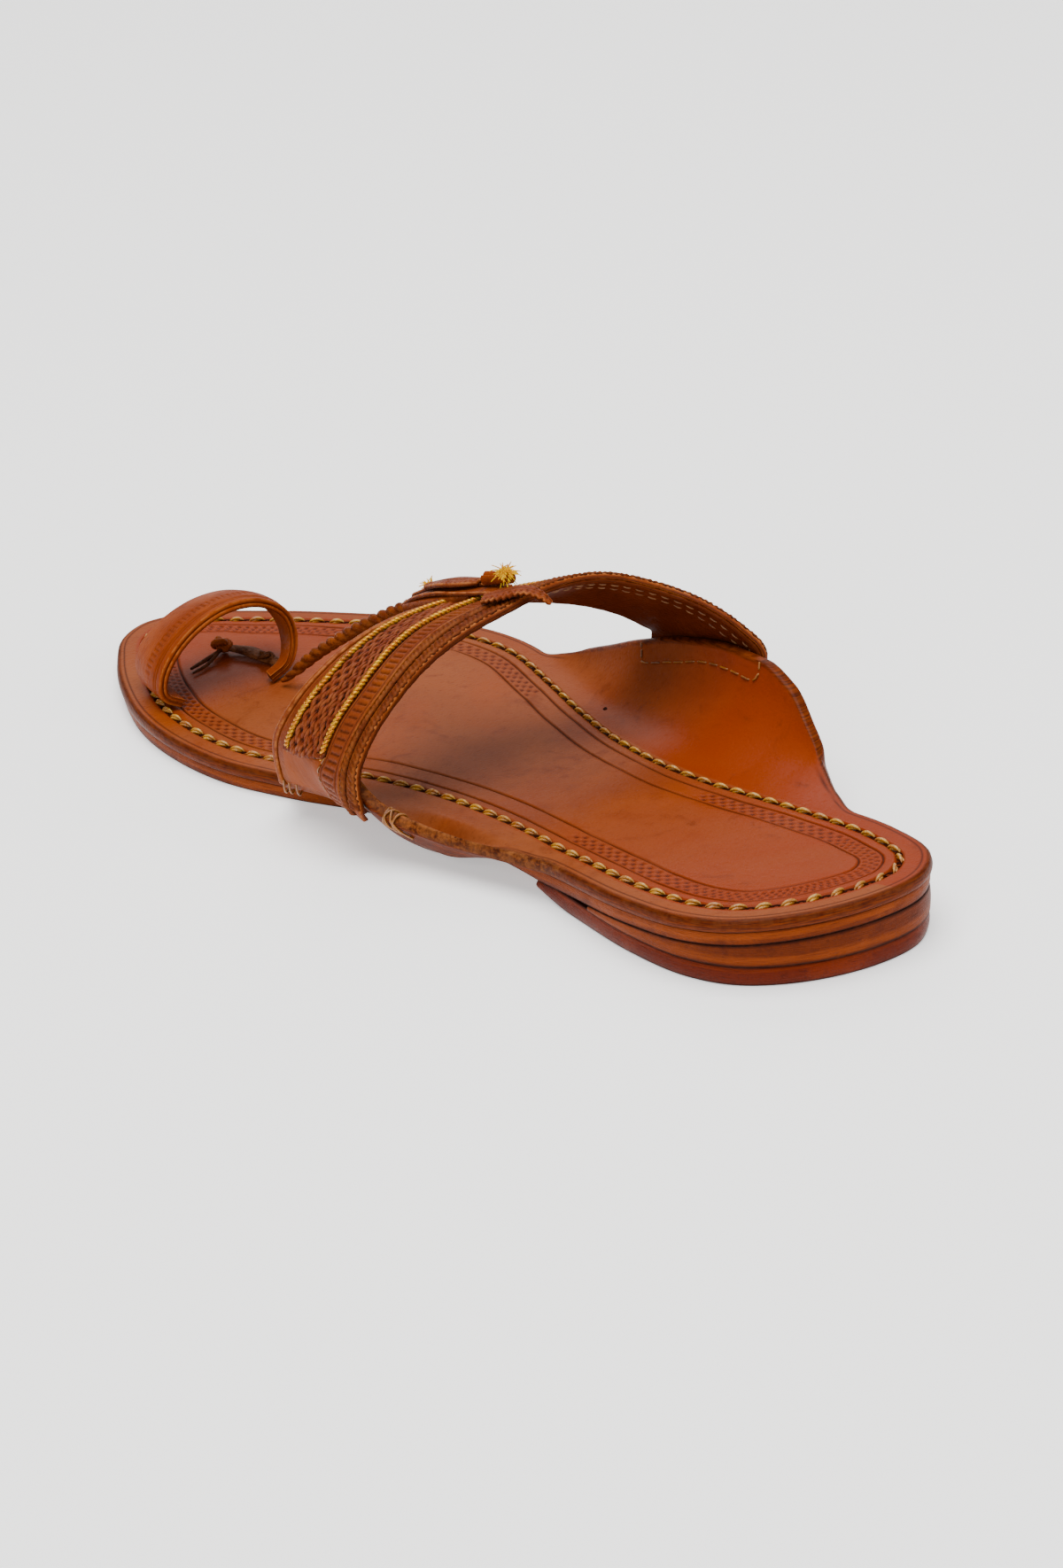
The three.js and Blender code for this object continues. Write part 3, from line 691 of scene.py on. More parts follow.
def burnished_edge(name, tone, deep, streak, rough, low_streak, high_streak):
    """Cut edges: fibres run along the edge, with a paler streak between two heights."""
    def fibres(tree, where, colour, height, gloss):
        """Draws the fibres and the streak over the leather's own colour."""
        up = mark_of(tree, "up")
        lines = noise(tree, flow_of(tree, 0.05, 0.9), 1.0, 5.0, 0.6, 0.4)
        thin = noise(tree, flow_of(tree, 0.25, 5.0), 1.0, 4.0)
        lift = sums(tree, "ADD", up, times(tree, sums(tree, "SUBTRACT", lines, 0.5), 2.2))
        band = times(tree, ramp(tree, lift, low_streak - 0.5, low_streak + 0.3),
                    ramp(tree, lift, high_streak - 0.3, high_streak + 0.5, 1.0, 0.0))
        band = times(tree, band, ramp(tree, lines, 0.3, 0.62, 0.25, 1.0))
        colour = blend_of(tree, times(tree, band, 0.85), colour, rgb(*streak))
        colour = blend_of(tree, ramp(tree, thin, 0.52, 0.74, 0.0, 0.55), colour, rgb(*deep))
        height = sums(tree, "ADD", times(tree, height, 0.5), times(tree, thin, 1.3))
        return colour, height, gloss

    return leather(name, tone, deep, streak, rough, 60, 0.5, 1100, 0.5, (206, 122, 58), (34, 11, 5), 0.35,
                   fibres)


EDGE_BROWN = burnished_edge("outsole_edge", (118, 50, 22), (72, 24, 11), (168, 80, 28), 0.42, 1.6, 2.9)
LIFT_BROWN = burnished_edge("lift_edge", (114, 48, 21), (70, 23, 11), (158, 74, 28), 0.42, 0.8, 2.6)
BASE_RED = burnished_edge("base_edge", (112, 40, 21), (62, 17, 10), (138, 54, 24), 0.3, 3.6, 4.4)


# %% Layers of the sole
def sole_layer(name, ring, finish, slot_name, node_name, top_at, bottom_at, inset, swell):
    """One layer as rings of profiles. Down the wall, with k from 0 at the top corner to 1 at the
    bottom one, the edge stands out by swell * sin(pi k), and the corners are rounded off."""
    depth = np.array([0, 0.12, 0.45, 1.1, 3, 7, 9, 9, 9, 9])
    plan = ring.plan(depth[:6] + inset, 4)
    top, bottom = top_at(plan[..., 1]), bottom_at(plan[..., 1])
    corner = np.minimum(0.16 * (1 - lip_height(depth, 0.3, 2.2)), (top - bottom) * 0.35)
    k = np.linspace(0, 1, 9)[1:-1]
    out = plan[:, :1] - ring.inward[:, None] * (swell * np.sin(np.pi * k))[None, :, None]
    wall = (top - corner)[:, :1] * (1 - k) + (bottom + corner)[:, :1] * k
    xy = np.concatenate([plan[:, ::-1], out, plan], axis=1)
    z = np.concatenate([(top - corner)[:, ::-1], wall, bottom + corner], axis=1)
    down = np.concatenate([np.zeros(len(depth)), k, np.ones(len(depth))])
    on_wall = np.concatenate([depth[::-1] < 1.2, k > -1, depth < 1.2])
    shade = 0.95 * on_wall * np.maximum(1 - down / 0.06, 1 - (1 - down) / 0.05).clip(0, 1)
    up = z - np.concatenate([bottom[:, ::-1], np.repeat(bottom[:, :1], len(k), 1), bottom], axis=1)
    run = ring.run[:, None] + 700 * ring.on_inner[:, None]
    skin = Skin().add(np.concatenate([xy, z[..., None]], axis=-1), wrap_n=True, run=run, up=up, shade=shade)
    return skin.make(name, finish, slot_name, node_name)


def heel_ring(front_y):
    """Stations round a heel piece that starts with a straight cut at front_y."""
    x = (edge_x(True, front_y) + edge_x(False, front_y)) / 2
    sides = []
    for side in (OUTER, INNER):
        kept = side[side[:, 1] > front_y]
        sides.append(np.concatenate([[[x, front_y]], kept]))
    return Ring(sides[0], sides[1], 260, front_y + 24, 10)


sole_layer("outsole_leather", SOLE, EDGE_BROWN, "sole_leather", "outsole",
           lambda y: underside(y) + OUTSOLE_T + 0.3, underside, INSET, 0.25)
sole_layer("heel_lift_leather", heel_ring(79), LIFT_BROWN, "heel_leather", "heel_lift",
           lambda y: underside(y) - 0.01, lambda y: np.minimum(BASE_TOP + 0.02, underside(y) - 0.4),
           INSET, 0.2)
sole_layer("heel_base_leather", heel_ring(57.5), BASE_RED, "heel_leather", "heel_base",
           lambda y: np.minimum(BASE_TOP, underside(y) - GAP), lambda y: 3 * (1 - smooth(48.5, 72, y)),
           INSET + 0.7, 0.5)

# %% [markdown]
# ## Insole and ears
# The insole is the finest leather of the sandal. It is cut with two side flaps, the ears, which are
# wetted and bent up at the waist to carry the instep band. A channel is cut round it for the
# thread, two fine lines are scribed inside the channel, and between them a punch stamps a band of
# little lozenges round the heel and round the forefoot. All of it follows the edge, so it is drawn
# in two numbers: how far along the edge a place is, and how deep inside it.

# %% The ears' sweep
INNER_EAR = [(-27, 0, 0, 0), (-20, 3.2, 5, 0), (-12, 8, 12, 0), (-4, 11.5, 16, 0), (8, 14.6, 14, 1),
             (16, 15, 9.5, 3), (22, 13.2, 5.4, 4.4), (31, 10.6, 2.8, 4.8), (42, 7, 0.9, 2.2),
             (54, 3, 0.2, 0), (66, 0, 0, 0)]
OUTER_EAR = [(-42, 0, 0, 0), (-32, 2, 2.8, 0), (-16, 5.4, 9, 0), (0, 9.2, 15, 0), (16, 14.6, 18.8, 0),
             (33, 18.8, 20.2, 0), (47, 19.6, 19.6, 0), (56, 19, 16, 0), (66, 15.6, 8.8, 0),
             (77, 10.4, 3, 0), (88, 4.4, 0.8, 0), (100, 0, 0, 0)]


def ear_surface(inner, edge, inward, u, offset, bulge=0.0):
    """Places on an ear, u from 0 at the fold to 1 at the rim. With run = fold + out and an angle
    u * turn, the leather runs out by run * sin / sin(turn) and up by up * (1 - cos) / (1 -
    cos(turn)), less a sag of sin^2 between edge and rim. `offset` goes through the leather,
    square to it, and `bulge` goes on past the rim."""
    y = edge[..., 1]
    rim = np.where(np.asarray(inner, bool)[..., None], along(INNER_EAR, y), along(OUTER_EAR, y))
    out, up, sag = rim[..., 0], rim[..., 1], rim[..., 2]
    run = FOLD_IN + out
    turn = EAR_TURN * smooth(0, 6, up) + 0.001
    lean = u * turn
    dx = run * np.sin(lean) / np.sin(turn)
    dz = up * (1 - np.cos(lean)) / (1 - np.cos(turn))
    past = dx - FOLD_IN
    dip = np.where(past > 0, sag * np.sin(np.pi * past / np.maximum(out, 0.1)) ** 2, 0)
    tx = run * np.cos(lean) / np.sin(turn)
    tz = up * np.sin(lean) / (1 - np.cos(turn))
    size = np.hypot(tx, tz)
    outward = past + (offset * tz + bulge * tx) / size
    xy = edge - inward * outward[..., None]
    z = footbed(xy[..., 1]) + dz - dip + (bulge * tz - offset * tx) / size
    return np.concatenate([xy, z[..., None]], axis=-1)


print("outer ear at y = 33, mm out and up:", along(OUTER_EAR, np.array([33.0]))[0][:2])

# %% Lines, channel and stamping
STITCH_IN, LINE_OUT, LINE_IN = 7.0, 10.6, 16.0
STAMP_PITCH = 3.3


def stamped_zone(ring):
    """1 where the punch was used: round the heel and round the forefoot, fading at the ends."""
    y = ring.edge[:, 1]
    inner = ring.on_inner > 0.5
    heel = np.where(inner, smooth(55, 58, y), smooth(60, 63, y))
    fore = np.where(inner, 1 - smooth(-26, -23, y), 1 - smooth(-23, -20, y))
    return np.maximum(heel, fore)


def tooling(ring, depth):
    """How deep the tooling goes, in mm: the thread channel, two scribed lines, and between them
    the lozenges, which are cos(a) * cos(b) with a along the edge and b across the band."""
    wave = 0.25 * ripple(ring.run / 23, 0, 3.0)[:, None]
    channel = 0.75 * ridge(depth, STITCH_IN, 0.85, 4)
    lines = 0.5 * (ridge(depth, LINE_OUT + wave, 0.25) + ridge(depth, LINE_IN + wave, 0.25))
    inside = window(LINE_OUT + 0.3, LINE_OUT + 0.9, LINE_IN - 0.9, LINE_IN - 0.3, depth)
    a = 2 * np.pi * ring.run[:, None] / STAMP_PITCH
    b = 2 * np.pi * (depth - LINE_OUT) / 2.7
    lozenge = 0.5 + 0.5 * np.cos(a) * np.cos(b)
    stamp = 0.5 * stamped_zone(ring)[:, None] * inside * lozenge
    return channel + lines + stamp, stamp


# %% The insole's finish
def insole_tooling_marks(tree, where, colour, height, gloss):
    """The `tooled` mark darkens the scribed lines, the thread channel and the stamped lozenges, the
    middle of the footbed is left pale and rosy as a painted sheen, and the heel and ears are oiled
    to a deep orange."""
    tooled = mark_of(tree, "tooled")
    oiled = mark_of(tree, "oiled")
    stamped = mark_of(tree, "stamped")
    cloud = noise(tree, where, 26.0, 5.0, 0.6, 0.8)
    oil = sums(tree, "ADD", oiled, times(tree, sums(tree, "SUBTRACT", cloud, 0.5), 0.9), clamp=True)
    colour = blend_of(tree, times(tree, oil, 0.95), colour, rgb(158, 62, 8))
    stain = noise(tree, where, 75.0, 6.0, 0.68, 1.5)
    colour = blend_of(tree, ramp(tree, stain, 0.54, 0.76, 0.0, 0.65), colour, rgb(112, 44, 18))
    grime = mark_of(tree, "grime")
    colour = blend_of(tree, times(tree, grime, ramp(tree, cloud, 0.3, 0.6)), colour, rgb(100, 50, 36))
    colour = blend_of(tree, times(tree, stamped, 0.65), colour, rgb(146, 58, 16))
    colour = blend_of(tree, tooled, colour, rgb(52, 16, 8))
    fibre = noise(tree, where, 900.0, 5.0, 0.7)
    lying = noise(tree, flow_of(tree, 0.2, 3.0), 1.0, 4.0, 0.65)
    edge_tone = blend_of(tree, ramp(tree, lying, 0.38, 0.66), rgb(78, 27, 12), rgb(132, 58, 24))
    colour = blend_of(tree, mark_of(tree, "cut"), colour, edge_tone)
    raw = mark_of(tree, "raw")
    raw_tone = blend_of(tree, ramp(tree, fibre, 0.42, 0.66), rgb(62, 25, 12), rgb(160, 90, 48))
    colour = blend_of(tree, times(tree, raw, 0.75), colour, raw_tone)
    height = sums(tree, "ADD", height, times(tree, fibre, times(tree, raw, 4.0)))
    rough = sums(tree, "SUBTRACT", gloss, times(tree, oil, 0.05))
    return colour, height, sums(tree, "ADD", rough, times(tree, tooled, 0.15))


# The pale rosy tone, which the middle of the footbed keeps where little oil is laid, is a painted sheen.
INSOLE_FINISH = leather("insole_leather", (162, 90, 56), (112, 48, 24), (168, 82, 36), 0.4, 30, 0.35, 1300,
                        0.22, (186, 116, 70), (66, 24, 12), 0.2, insole_tooling_marks)


def ear_profile(ring, side, rim, raw):
    """The upper side of the ears with a rounded rim, the rim's wall, frayed where it is raw, and
    the underside. Also each place's distance from the rim, and how far down the wall its rows lie."""
    slope = np.hypot(FOLD_IN + rim[:, 0], rim[:, 1])[:, None]
    edge, inward = ring.edge[:, None], ring.inward[:, None]
    lip = np.array([0, 0.12, 0.4, 0.8, 1.3])
    u = 1 - lip / slope
    u = np.concatenate([u, u[:, -1:] * (1 - np.linspace(0, 1, 15)[1:])], axis=1)
    radius = 1.25 - 0.85 * raw
    from_rim = (1 - u) * slope
    drop = radius * (1 - np.sqrt(np.clip(1 - (1 - np.minimum(from_rim / radius, 1)) ** 2, 0, 1)))
    top = ear_surface(side, edge, inward, u, drop)

    fibres = ripple(ring.run / 1.3, 0.0, 5.0)[:, None] + 0.7 * ripple(ring.run / 0.45, 0.0, 9.0)[:, None]
    k = np.linspace(0, 1, 8)[1:-1]
    through = radius + (INSOLE_T - 0.25 - radius) * k
    ragged = 0.16 * np.sin(np.pi * k) + raw * 0.16 * fibres * np.sin(np.pi * k) ** 0.5
    wall = ear_surface(side, edge, inward, np.ones_like(slope), through, ragged)

    under_lip = np.array([0, 0.15, 0.6])
    u = 1 - under_lip / slope
    u = np.concatenate([u, u[:, -1:] * (1 - np.linspace(0, 1, 9)[1:])], axis=1)
    through = INSOLE_T - np.array([0.25, 0.08] + [0] * 9)
    return top, wall, ear_surface(side, edge, inward, u, through), from_rim, k


# How far in from the edge the footbed's points lie, in mm: close together at the tooled lines.
FINE = [5.35, 5.7, 6, 6.3, 6.6, 6.85, 7.1, 7.35, 7.65, 8, 8.5, 9.1, 9.7, 10.1, 10.35, 10.55, 10.7,
        10.9, 11.2, 11.6, 12, 12.4, 12.8, 13.2, 13.6, 14, 14.4, 14.8, 15.2, 15.55, 15.8, 15.98,
        16.15, 16.4, 17, 18]


def bed_profile(ring):
    """The footbed from the folds to the middle line and its underside, then each place's depth in
    from the edge, how deep it is tooled, and how much of that is a stamp."""
    flat = ring.plan(FINE, 9)
    depth = np.concatenate([FINE, [25] * 9])[None, :]
    cut, stamp = tooling(ring, depth)
    soft = 0.12 * ripple(flat[..., 0] / 17, flat[..., 1] / 23, 2.0)
    bed = footbed(flat[..., 1]) - cut + soft * smooth(14, 22, depth)
    top = np.concatenate([flat, bed[..., None]], axis=-1)
    below = ring.plan([6.5, 12], 5)
    under = np.concatenate([below, (footbed(below[..., 1]) - INSOLE_T)[..., None]], axis=-1)
    return top, under, depth, cut, stamp


def insole():
    """The whole insole as profiles round the sole: from the middle line out over the tooling and
    up the ear, round the rim, back down the underside, and in to the middle line again."""
    ring = SOLE
    count = len(ring.edge)
    y, inner = ring.edge[:, 1], ring.on_inner > 0.5
    side = inner[:, None]
    rim = np.where(side, along(INNER_EAR, y), along(OUTER_EAR, y))
    raw = (inner * window(-30, -20, 62, 76, y))[:, None]
    ear_top, wall, ear_under, from_rim, k = ear_profile(ring, side, rim, raw)
    flat_top, flat_under, depth, cut, stamp = bed_profile(ring)
    grid = np.concatenate([flat_top[:, ::-1], ear_top[:, ::-1], wall, ear_under, flat_under], axis=1)
    widths = [part.shape[1] for part in (flat_top, ear_top, wall)]
    widths.append(grid.shape[1] - sum(widths))

    def spread(flat_part, ear_part, wall_part, rest_part=0.0):
        """One mark over the whole profile, given part by part, the first two from inside out."""
        parts = (np.broadcast_to(flat_part, (count, widths[0]))[:, ::-1],
                 np.broadcast_to(ear_part, (count, widths[1]))[:, ::-1], wall_part, rest_part)
        return np.concatenate([np.broadcast_to(v, (count, n)) for v, n in zip(parts, widths)], axis=1)

    heel = smooth(18, 70, flat_top[..., 1]) * (0.45 + 0.55 * smooth(50, 115, flat_top[..., 1]))
    to_side = np.clip(1 - depth / 34, 0, 1)
    toes = (1 - smooth(-95, -60, flat_top[..., 1])) * 0.6
    # Little oil in the middle of the footbed, so that the pale rosy tone stays there as a painted sheen.
    oiled = np.clip(0.75 * heel + toes + 0.25 * to_side, 0, 1)
    ear_y = ear_top[..., 1]
    ear_oil = np.where(side, 0.1, 0.35 + 0.65 * smooth(10, 45, ear_y))
    thread_bed = 1 - 0.5 * ridge(depth, STITCH_IN, 1.3, 4)
    tooled = np.clip((cut - stamp) / 0.5, 0, 1) ** 1.2 * 0.95 * thread_bed
    tooled = tooled + 0.7 * smooth(0.45, 0.9, stamp / 0.5)
    grime = (1 - smooth(0.25, 0.6, np.abs(flat_top[..., 1] - 25) / 60)) * smooth(2, 12, depth) * 0.35
    rub_lip = (0.1 + 0.5 * raw) * (1 - smooth(0.3, 1.6, from_rim))
    shade_wall = 0.2 * raw + 0.25 * smooth(0.8, 1, k)[None, :]
    low_rim = (1 - smooth(1, 6, rim[:, 1]))[:, None]
    ear_line = 0.8 * ridge(from_rim, 2.1, 0.24) * low_rim
    shade_lip = 0.4 * low_rim * (1 - smooth(0.4, 1.6, from_rim))
    marks = {"oiled": (oiled, ear_oil, 0.3), "tooled": (tooled, ear_line, 0.0),
             "stamped": (stamp / 0.5, 0.0, 0.0),
             "grime": (grime, 0.2 * window(-10, 10, 30, 50, ear_y), 0.0),
             "cut": (0.0, 1 - smooth(0.5, 1.5, from_rim), 0.95, 0.9),
             "raw": (0.0, raw * (1 - smooth(0.8, 2.2, from_rim)), raw),
             "shade": (0.0, shade_lip, shade_wall), "rub": (0.0, rub_lip, 0.05 + 0.25 * raw)}
    skin = Skin().add(grid, wrap_n=True, run=ring.run[:, None] + 700 * ring.on_inner[:, None],
                      up=grid[..., 2] - footbed(grid[..., 1]),
                      **{name: spread(*parts) for name, parts in marks.items()})
    return skin.make("insole_and_ears", INSOLE_FINISH, "insole_leather", "insole")


insole()

# %% [markdown]
# ## The thread round the footbed
# Insole and outsole are sewn through with thick waxed thread. Seen from above, each stitch is a
# fat little two-ply bridge that leaves its hole on one side of the channel and dives into the next
# hole on the other side, so the row looks like a rope laid in a groove.

# %% Thread finish
def thread_finish(name, tone, deep, shine, rough):
    """Waxed thread: fine hairs across the ply, flecked with the pale shine colour as painted highlights,
    darker in clouds, painted shade where the `shade` mark is set, a waxy gloss.
    """
    tone, deep, shine = rgb(*tone), rgb(*deep), rgb(*shine)
    made, tree, shader, where = finish_of(name)
    cloud = noise(tree, where, 160.0, 3.0, 0.6)
    hairs = noise(tree, where, 2600.0, 2.0, 0.5)
    colour = blend_of(tree, ramp(tree, cloud, 0.35, 0.68), deep, tone)
    # Painted highlights: pale flecks of the shine colour on the hairs.
    colour = blend_of(tree, ramp(tree, hairs, 0.5, 0.75, 0.0, 0.5), colour, shine)
    # Painted shade towards a dark brown where the `shade` mark is set, and edge wear where `rub` is set.
    wear = use(tree, SHADE_AND_WEAR, Where=where, Color=colour, Dirt=rgb(92, 48, 14), Worn=shine,
               Shade=mark_of(tree, "shade"), Rub=mark_of(tree, "rub"))
    fill(shader, Base_Color=wear["Color"], Roughness=rough, Coat_Weight=0.25,
         Normal=bumped(tree, hairs, 0.4, 0.0002))
    return made


YELLOW_THREAD = thread_finish("waxed_thread", (230, 168, 52), (192, 116, 22), (255, 238, 178), 0.4)
BEIGE_THREAD = thread_finish("lining_thread", (176, 126, 82), (128, 78, 46), (206, 166, 120), 0.6)
OCHRE_THREAD = thread_finish("tie_thread", (176, 108, 36), (120, 64, 20), (206, 156, 84), 0.45)


# %% Stitches round the insole
STITCH_PITCH, STITCH_HALF, STITCH_SLANT, STITCH_RISE, STITCH_PLY = 5.6, 1.85, 0.85, 1.0, 0.46


def round_line(depth):
    """The closed line at one depth inside the sole's edge, with its directions."""
    line = SOLE.plan([depth], 0)[:, 0]
    line = np.concatenate([line, line[:1]])
    tangent = unit(np.gradient(line, axis=0))
    return line, lengths(line), tangent


def footbed_stitches():
    """Each stitch runs from x = -1 to 1 along the channel and slants across it, and rises by
    (1 - x^2)^0.6; two plies wind a third of a turn round each other on the way."""
    line, far, tangent = round_line(STITCH_IN)
    number = int(round(far[-1] / STITCH_PITCH))
    middle = (np.arange(number) + 0.5) * far[-1] / number
    x = np.linspace(-1, 1, 9)
    wobble = 0.12 * ripple(np.arange(number) * 1.7, 0, 4.0)
    place = middle[:, None] + x * (STITCH_HALF + wobble[:, None])
    along_x, along_y = (np.interp(place, far, line[:, k]) for k in (0, 1))
    ahead_x, ahead_y = (np.interp(place, far, tangent[:, k]) for k in (0, 1))
    square = np.stack([-ahead_y, ahead_x], axis=-1)
    slant = (STITCH_SLANT + wobble[:, None]) * x
    flat = np.stack([along_x, along_y], axis=-1) + unit(square) * slant[..., None]
    lift = -0.85 + STITCH_RISE * (1 - x**2) ** 0.6 + wobble[:, None] * 0.5
    z = footbed(flat[..., 1]) + lift
    path = np.concatenate([flat, z[..., None]], axis=-1)
    skin = Skin()
    side, other = across_of(path, np.array([0, 0, 1.0]))
    for ply in (0, 1):
        angle = np.pi * (0.3 * x + ply) + 0.35
        middle_line = path + 0.32 * (side * np.cos(angle)[:, None] + other * np.sin(angle)[:, None])
        strand = tube(middle_line, STITCH_PLY * (1 - 0.85 * np.abs(x) ** 2.2), sides=6)
        # Painted shade at both ends of each stitch, where the thread dives into its hole.
        shade = np.concatenate([[1, 1, 1], 0.9 * x**6, [1, 1, 1]])[:, None]
        skin.add(strand, wrap_m=True, shade=shade)
    skin.make("footbed_stitches", YELLOW_THREAD, "insole_leather")
    print("stitches round the footbed:", number, "each", round(far[-1] / number, 2), "mm")


def stitch_holes():
    """The awl holes between the stitches: small sunken lips of leather in the channel, made dark as painted
    shade.
    """
    line, far, tangent = round_line(STITCH_IN)
    number = int(round(far[-1] / STITCH_PITCH))
    middle = np.arange(number) * far[-1] / number
    centre = np.stack([np.interp(middle, far, line[:, k]) for k in (0, 1)], axis=-1)
    ahead = unit(np.stack([np.interp(middle, far, tangent[:, k]) for k in (0, 1)], axis=-1))
    beside = np.stack([-ahead[:, 1], ahead[:, 0]], axis=-1)
    a = np.linspace(0, 2 * np.pi, 11)[:-1]
    rings = np.array([[0.0, -0.95], [0.55, -0.8], [0.8, -0.42], [1.0, -0.34], [0.7, -1.1], [0.0, -1.2]])
    r = rings[:, 0][:, None]
    spread_xy = (ahead[:, None, None] * (1.2 * r * np.cos(a))[..., None]
                 + beside[:, None, None] * (0.85 * r * np.sin(a))[..., None])
    xy = centre[:, None, None] + spread_xy
    z = footbed(xy[..., 1]) + rings[:, 1][None, :, None]
    grid = np.concatenate([xy, z[..., None]], axis=-1)
    Skin().add(grid, wrap_m=True, shade=1.0).make("stitch_holes", HOLE_SHADE_FINISH, "insole_leather")


# The dark hole colour is painted shade for the inside of an awl hole.
HOLE_SHADE_FINISH = leather("hole_shade_leather", (84, 34, 16), (48, 18, 9), (104, 44, 20), 0.6, coat=0.0)
footbed_stitches()
stitch_holes()

# %% [markdown]
# ## The instep band
# The band is the upper of this sandal. It is sewn to the outside of both ears and arches over the
# foot. Its shape is a family of curves: one for each place across the band, through the inner
# ear, a few arch points and the outer ear. Any ornament is then drawn on that surface by two
# numbers, across (0 front, 1 rear) and along (0 at the inner end), and a height above it.

# %% The band's middle surface
ARCH = [((50.2, -15.5, 23.5), (49.6, 18.4, 24.5)), ((46.6, -11.5, 32.5), (44.4, 17.8, 32)),
        ((38.8, -9.8, 39), (36.6, 17.4, 38.8)), ((28, -10.4, 42.8), (27, 16.8, 44.6)),
        ((15, -11.2, 44.2), (15.6, 16.6, 48.8)), ((0, -10, 43.8), (2, 16.8, 51.4)),
        ((-16, -6, 41.6), (-12, 16, 52.6)), ((-29.5, -1, 38.2), (-26, 17, 50.8)),
        ((-40, 1.6, 33.2), (-36.8, 22.2, 46.6)), ((-47.2, 2.2, 28), (-44.8, 30.8, 41.8)),
        ((-50.8, 1.8, 25), (-49.9, 38.8, 35.8))]
BAND_T = 3.2
BAND_ENDS = {True: (-20, 18.5, 7.5, 11, 0.3), False: (1, 42.5, 13, 15, 0.5)}


def band_end(inner, s):
    """Where the band lies on the outside of an ear: three places up the ear for each s, from
    the height at which the band ends to the rim, found by halving an interval."""
    front_y, rear_y, front_low, rear_low, clear = BAND_ENDS[inner]
    y = front_y + (rear_y - front_y) * s
    edge = np.stack([edge_x(inner, y), y], axis=1)[:, None]
    inward = np.array([-1.0 if inner else 1.0, 0.0])[None, None]
    offset = INSOLE_T + GAP + BAND_T / 2 + clear
    side = np.full((len(s), 1), inner)

    def ear(u):
        """Places on the outside of this ear, one column for each u."""
        return ear_surface(side, edge, inward, u, offset)

    low = np.minimum(front_low + (rear_low - front_low) * s, ear(np.ones((len(s), 1)))[:, 0, 2] - 2)
    a, b = np.full(len(s), 0.2), np.ones(len(s))
    for _ in range(24):
        half = (a + b) / 2
        under = ear(half[:, None])[:, 0, 2] < low
        a, b = np.where(under, half, a), np.where(under, b, half)
    return ear(b[:, None] + (1 - b[:, None]) * np.array([0, 0.5, 1]))


BAND_LINES, BAND_POINTS = 65, 421


def band_surface():
    """A grid of places on the band's middle surface, front edge first, inner end first."""
    s = np.linspace(0, 1, BAND_LINES)
    front, rear = np.array([a for a, _ in ARCH], float), np.array([b for _, b in ARCH], float)
    arch = front + (rear - front) * s[:, None, None]
    through = np.concatenate([band_end(True, s), arch, band_end(False, s)[:, ::-1]], axis=1)
    return np.stack([spaced(line, BAND_POINTS) for line in curve_through(through)])


class Ground:
    """A surface to draw on, known by a grid of places. Across is s and along is t, both 0..1.
    Between its points it is read from the four around, with normals that point up at the middle."""

    def __init__(self, grid):
        self.grid = grid
        up = normals_of(grid)
        self.up = up * np.sign(up[len(up) // 2, up.shape[1] // 2, 2])
        self.long = float(lengths(grid[len(grid) // 2])[-1])
        self.wide = np.linalg.norm(np.diff(grid, axis=0), axis=2).sum(axis=0)

    def read(self, grid, s, t):
        """A grid's value between its points."""
        s, t = np.broadcast_arrays(np.asarray(s, float), np.asarray(t, float))
        a, b = np.clip(s, 0, 1) * (grid.shape[0] - 1), np.clip(t, 0, 1) * (grid.shape[1] - 1)
        i, j = np.minimum(a.astype(int), grid.shape[0] - 2), np.minimum(b.astype(int), grid.shape[1] - 2)
        a, b = (a - i)[..., None], (b - j)[..., None]
        return ((grid[i, j] * (1 - b) + grid[i, j + 1] * b) * (1 - a)
                + (grid[i + 1, j] * (1 - b) + grid[i + 1, j + 1] * b) * a)

    def out(self, s, t):
        """The way out of the surface."""
        return unit(self.read(self.up, s, t))

    def at(self, s, t, height=0.0):
        """The place at (s, t) and a height in mm above the surface."""
        return self.read(self.grid, s, t) + self.out(s, t) * np.asarray(height, float)[..., None]

    def wide_at(self, t):
        """The width in mm at t."""
        return np.interp(t, np.linspace(0, 1, len(self.wide)), self.wide)


BAND = Ground(band_surface())
BAND_MM = BAND.long
on_band, band_up, wide_at = BAND.at, BAND.out, BAND.wide_at
print("band, mm long and wide:", round(BAND_MM, 1), np.round(BAND.wide[[0, 210, -1]], 1))

# %% Leathers of the band
STRAP = leather("strap_leather", (142, 68, 38), (88, 34, 16), (168, 88, 40), 0.42, 55, 0.5, 1400, 0.45,
                (206, 130, 78), (52, 20, 10), 0.2)
PANEL = leather("panel_leather", (160, 76, 24), (110, 44, 16), (184, 94, 30), 0.45, 50, 0.35, 1600, 0.2,
                (204, 128, 60), (70, 28, 12), 0.1)
BRAID = leather("braid_leather", (126, 54, 32), (72, 26, 15), (150, 70, 40), 0.36, 120, 0.5, 1800, 0.3,
                (204, 128, 84), (40, 14, 7), 0.3)
BEAD = leather("bead_leather", (126, 60, 34), (70, 28, 15), (152, 80, 42), 0.5, 160, 0.8, 1300, 0.7,
               (196, 124, 72), (46, 18, 9), 0.1)
LINING = leather("lining_leather", (112, 50, 26), (70, 26, 14), (134, 64, 34), 0.5, 60, 0.5, 1200, 0.5,
                 (168, 96, 52), (44, 16, 8), 0.05)


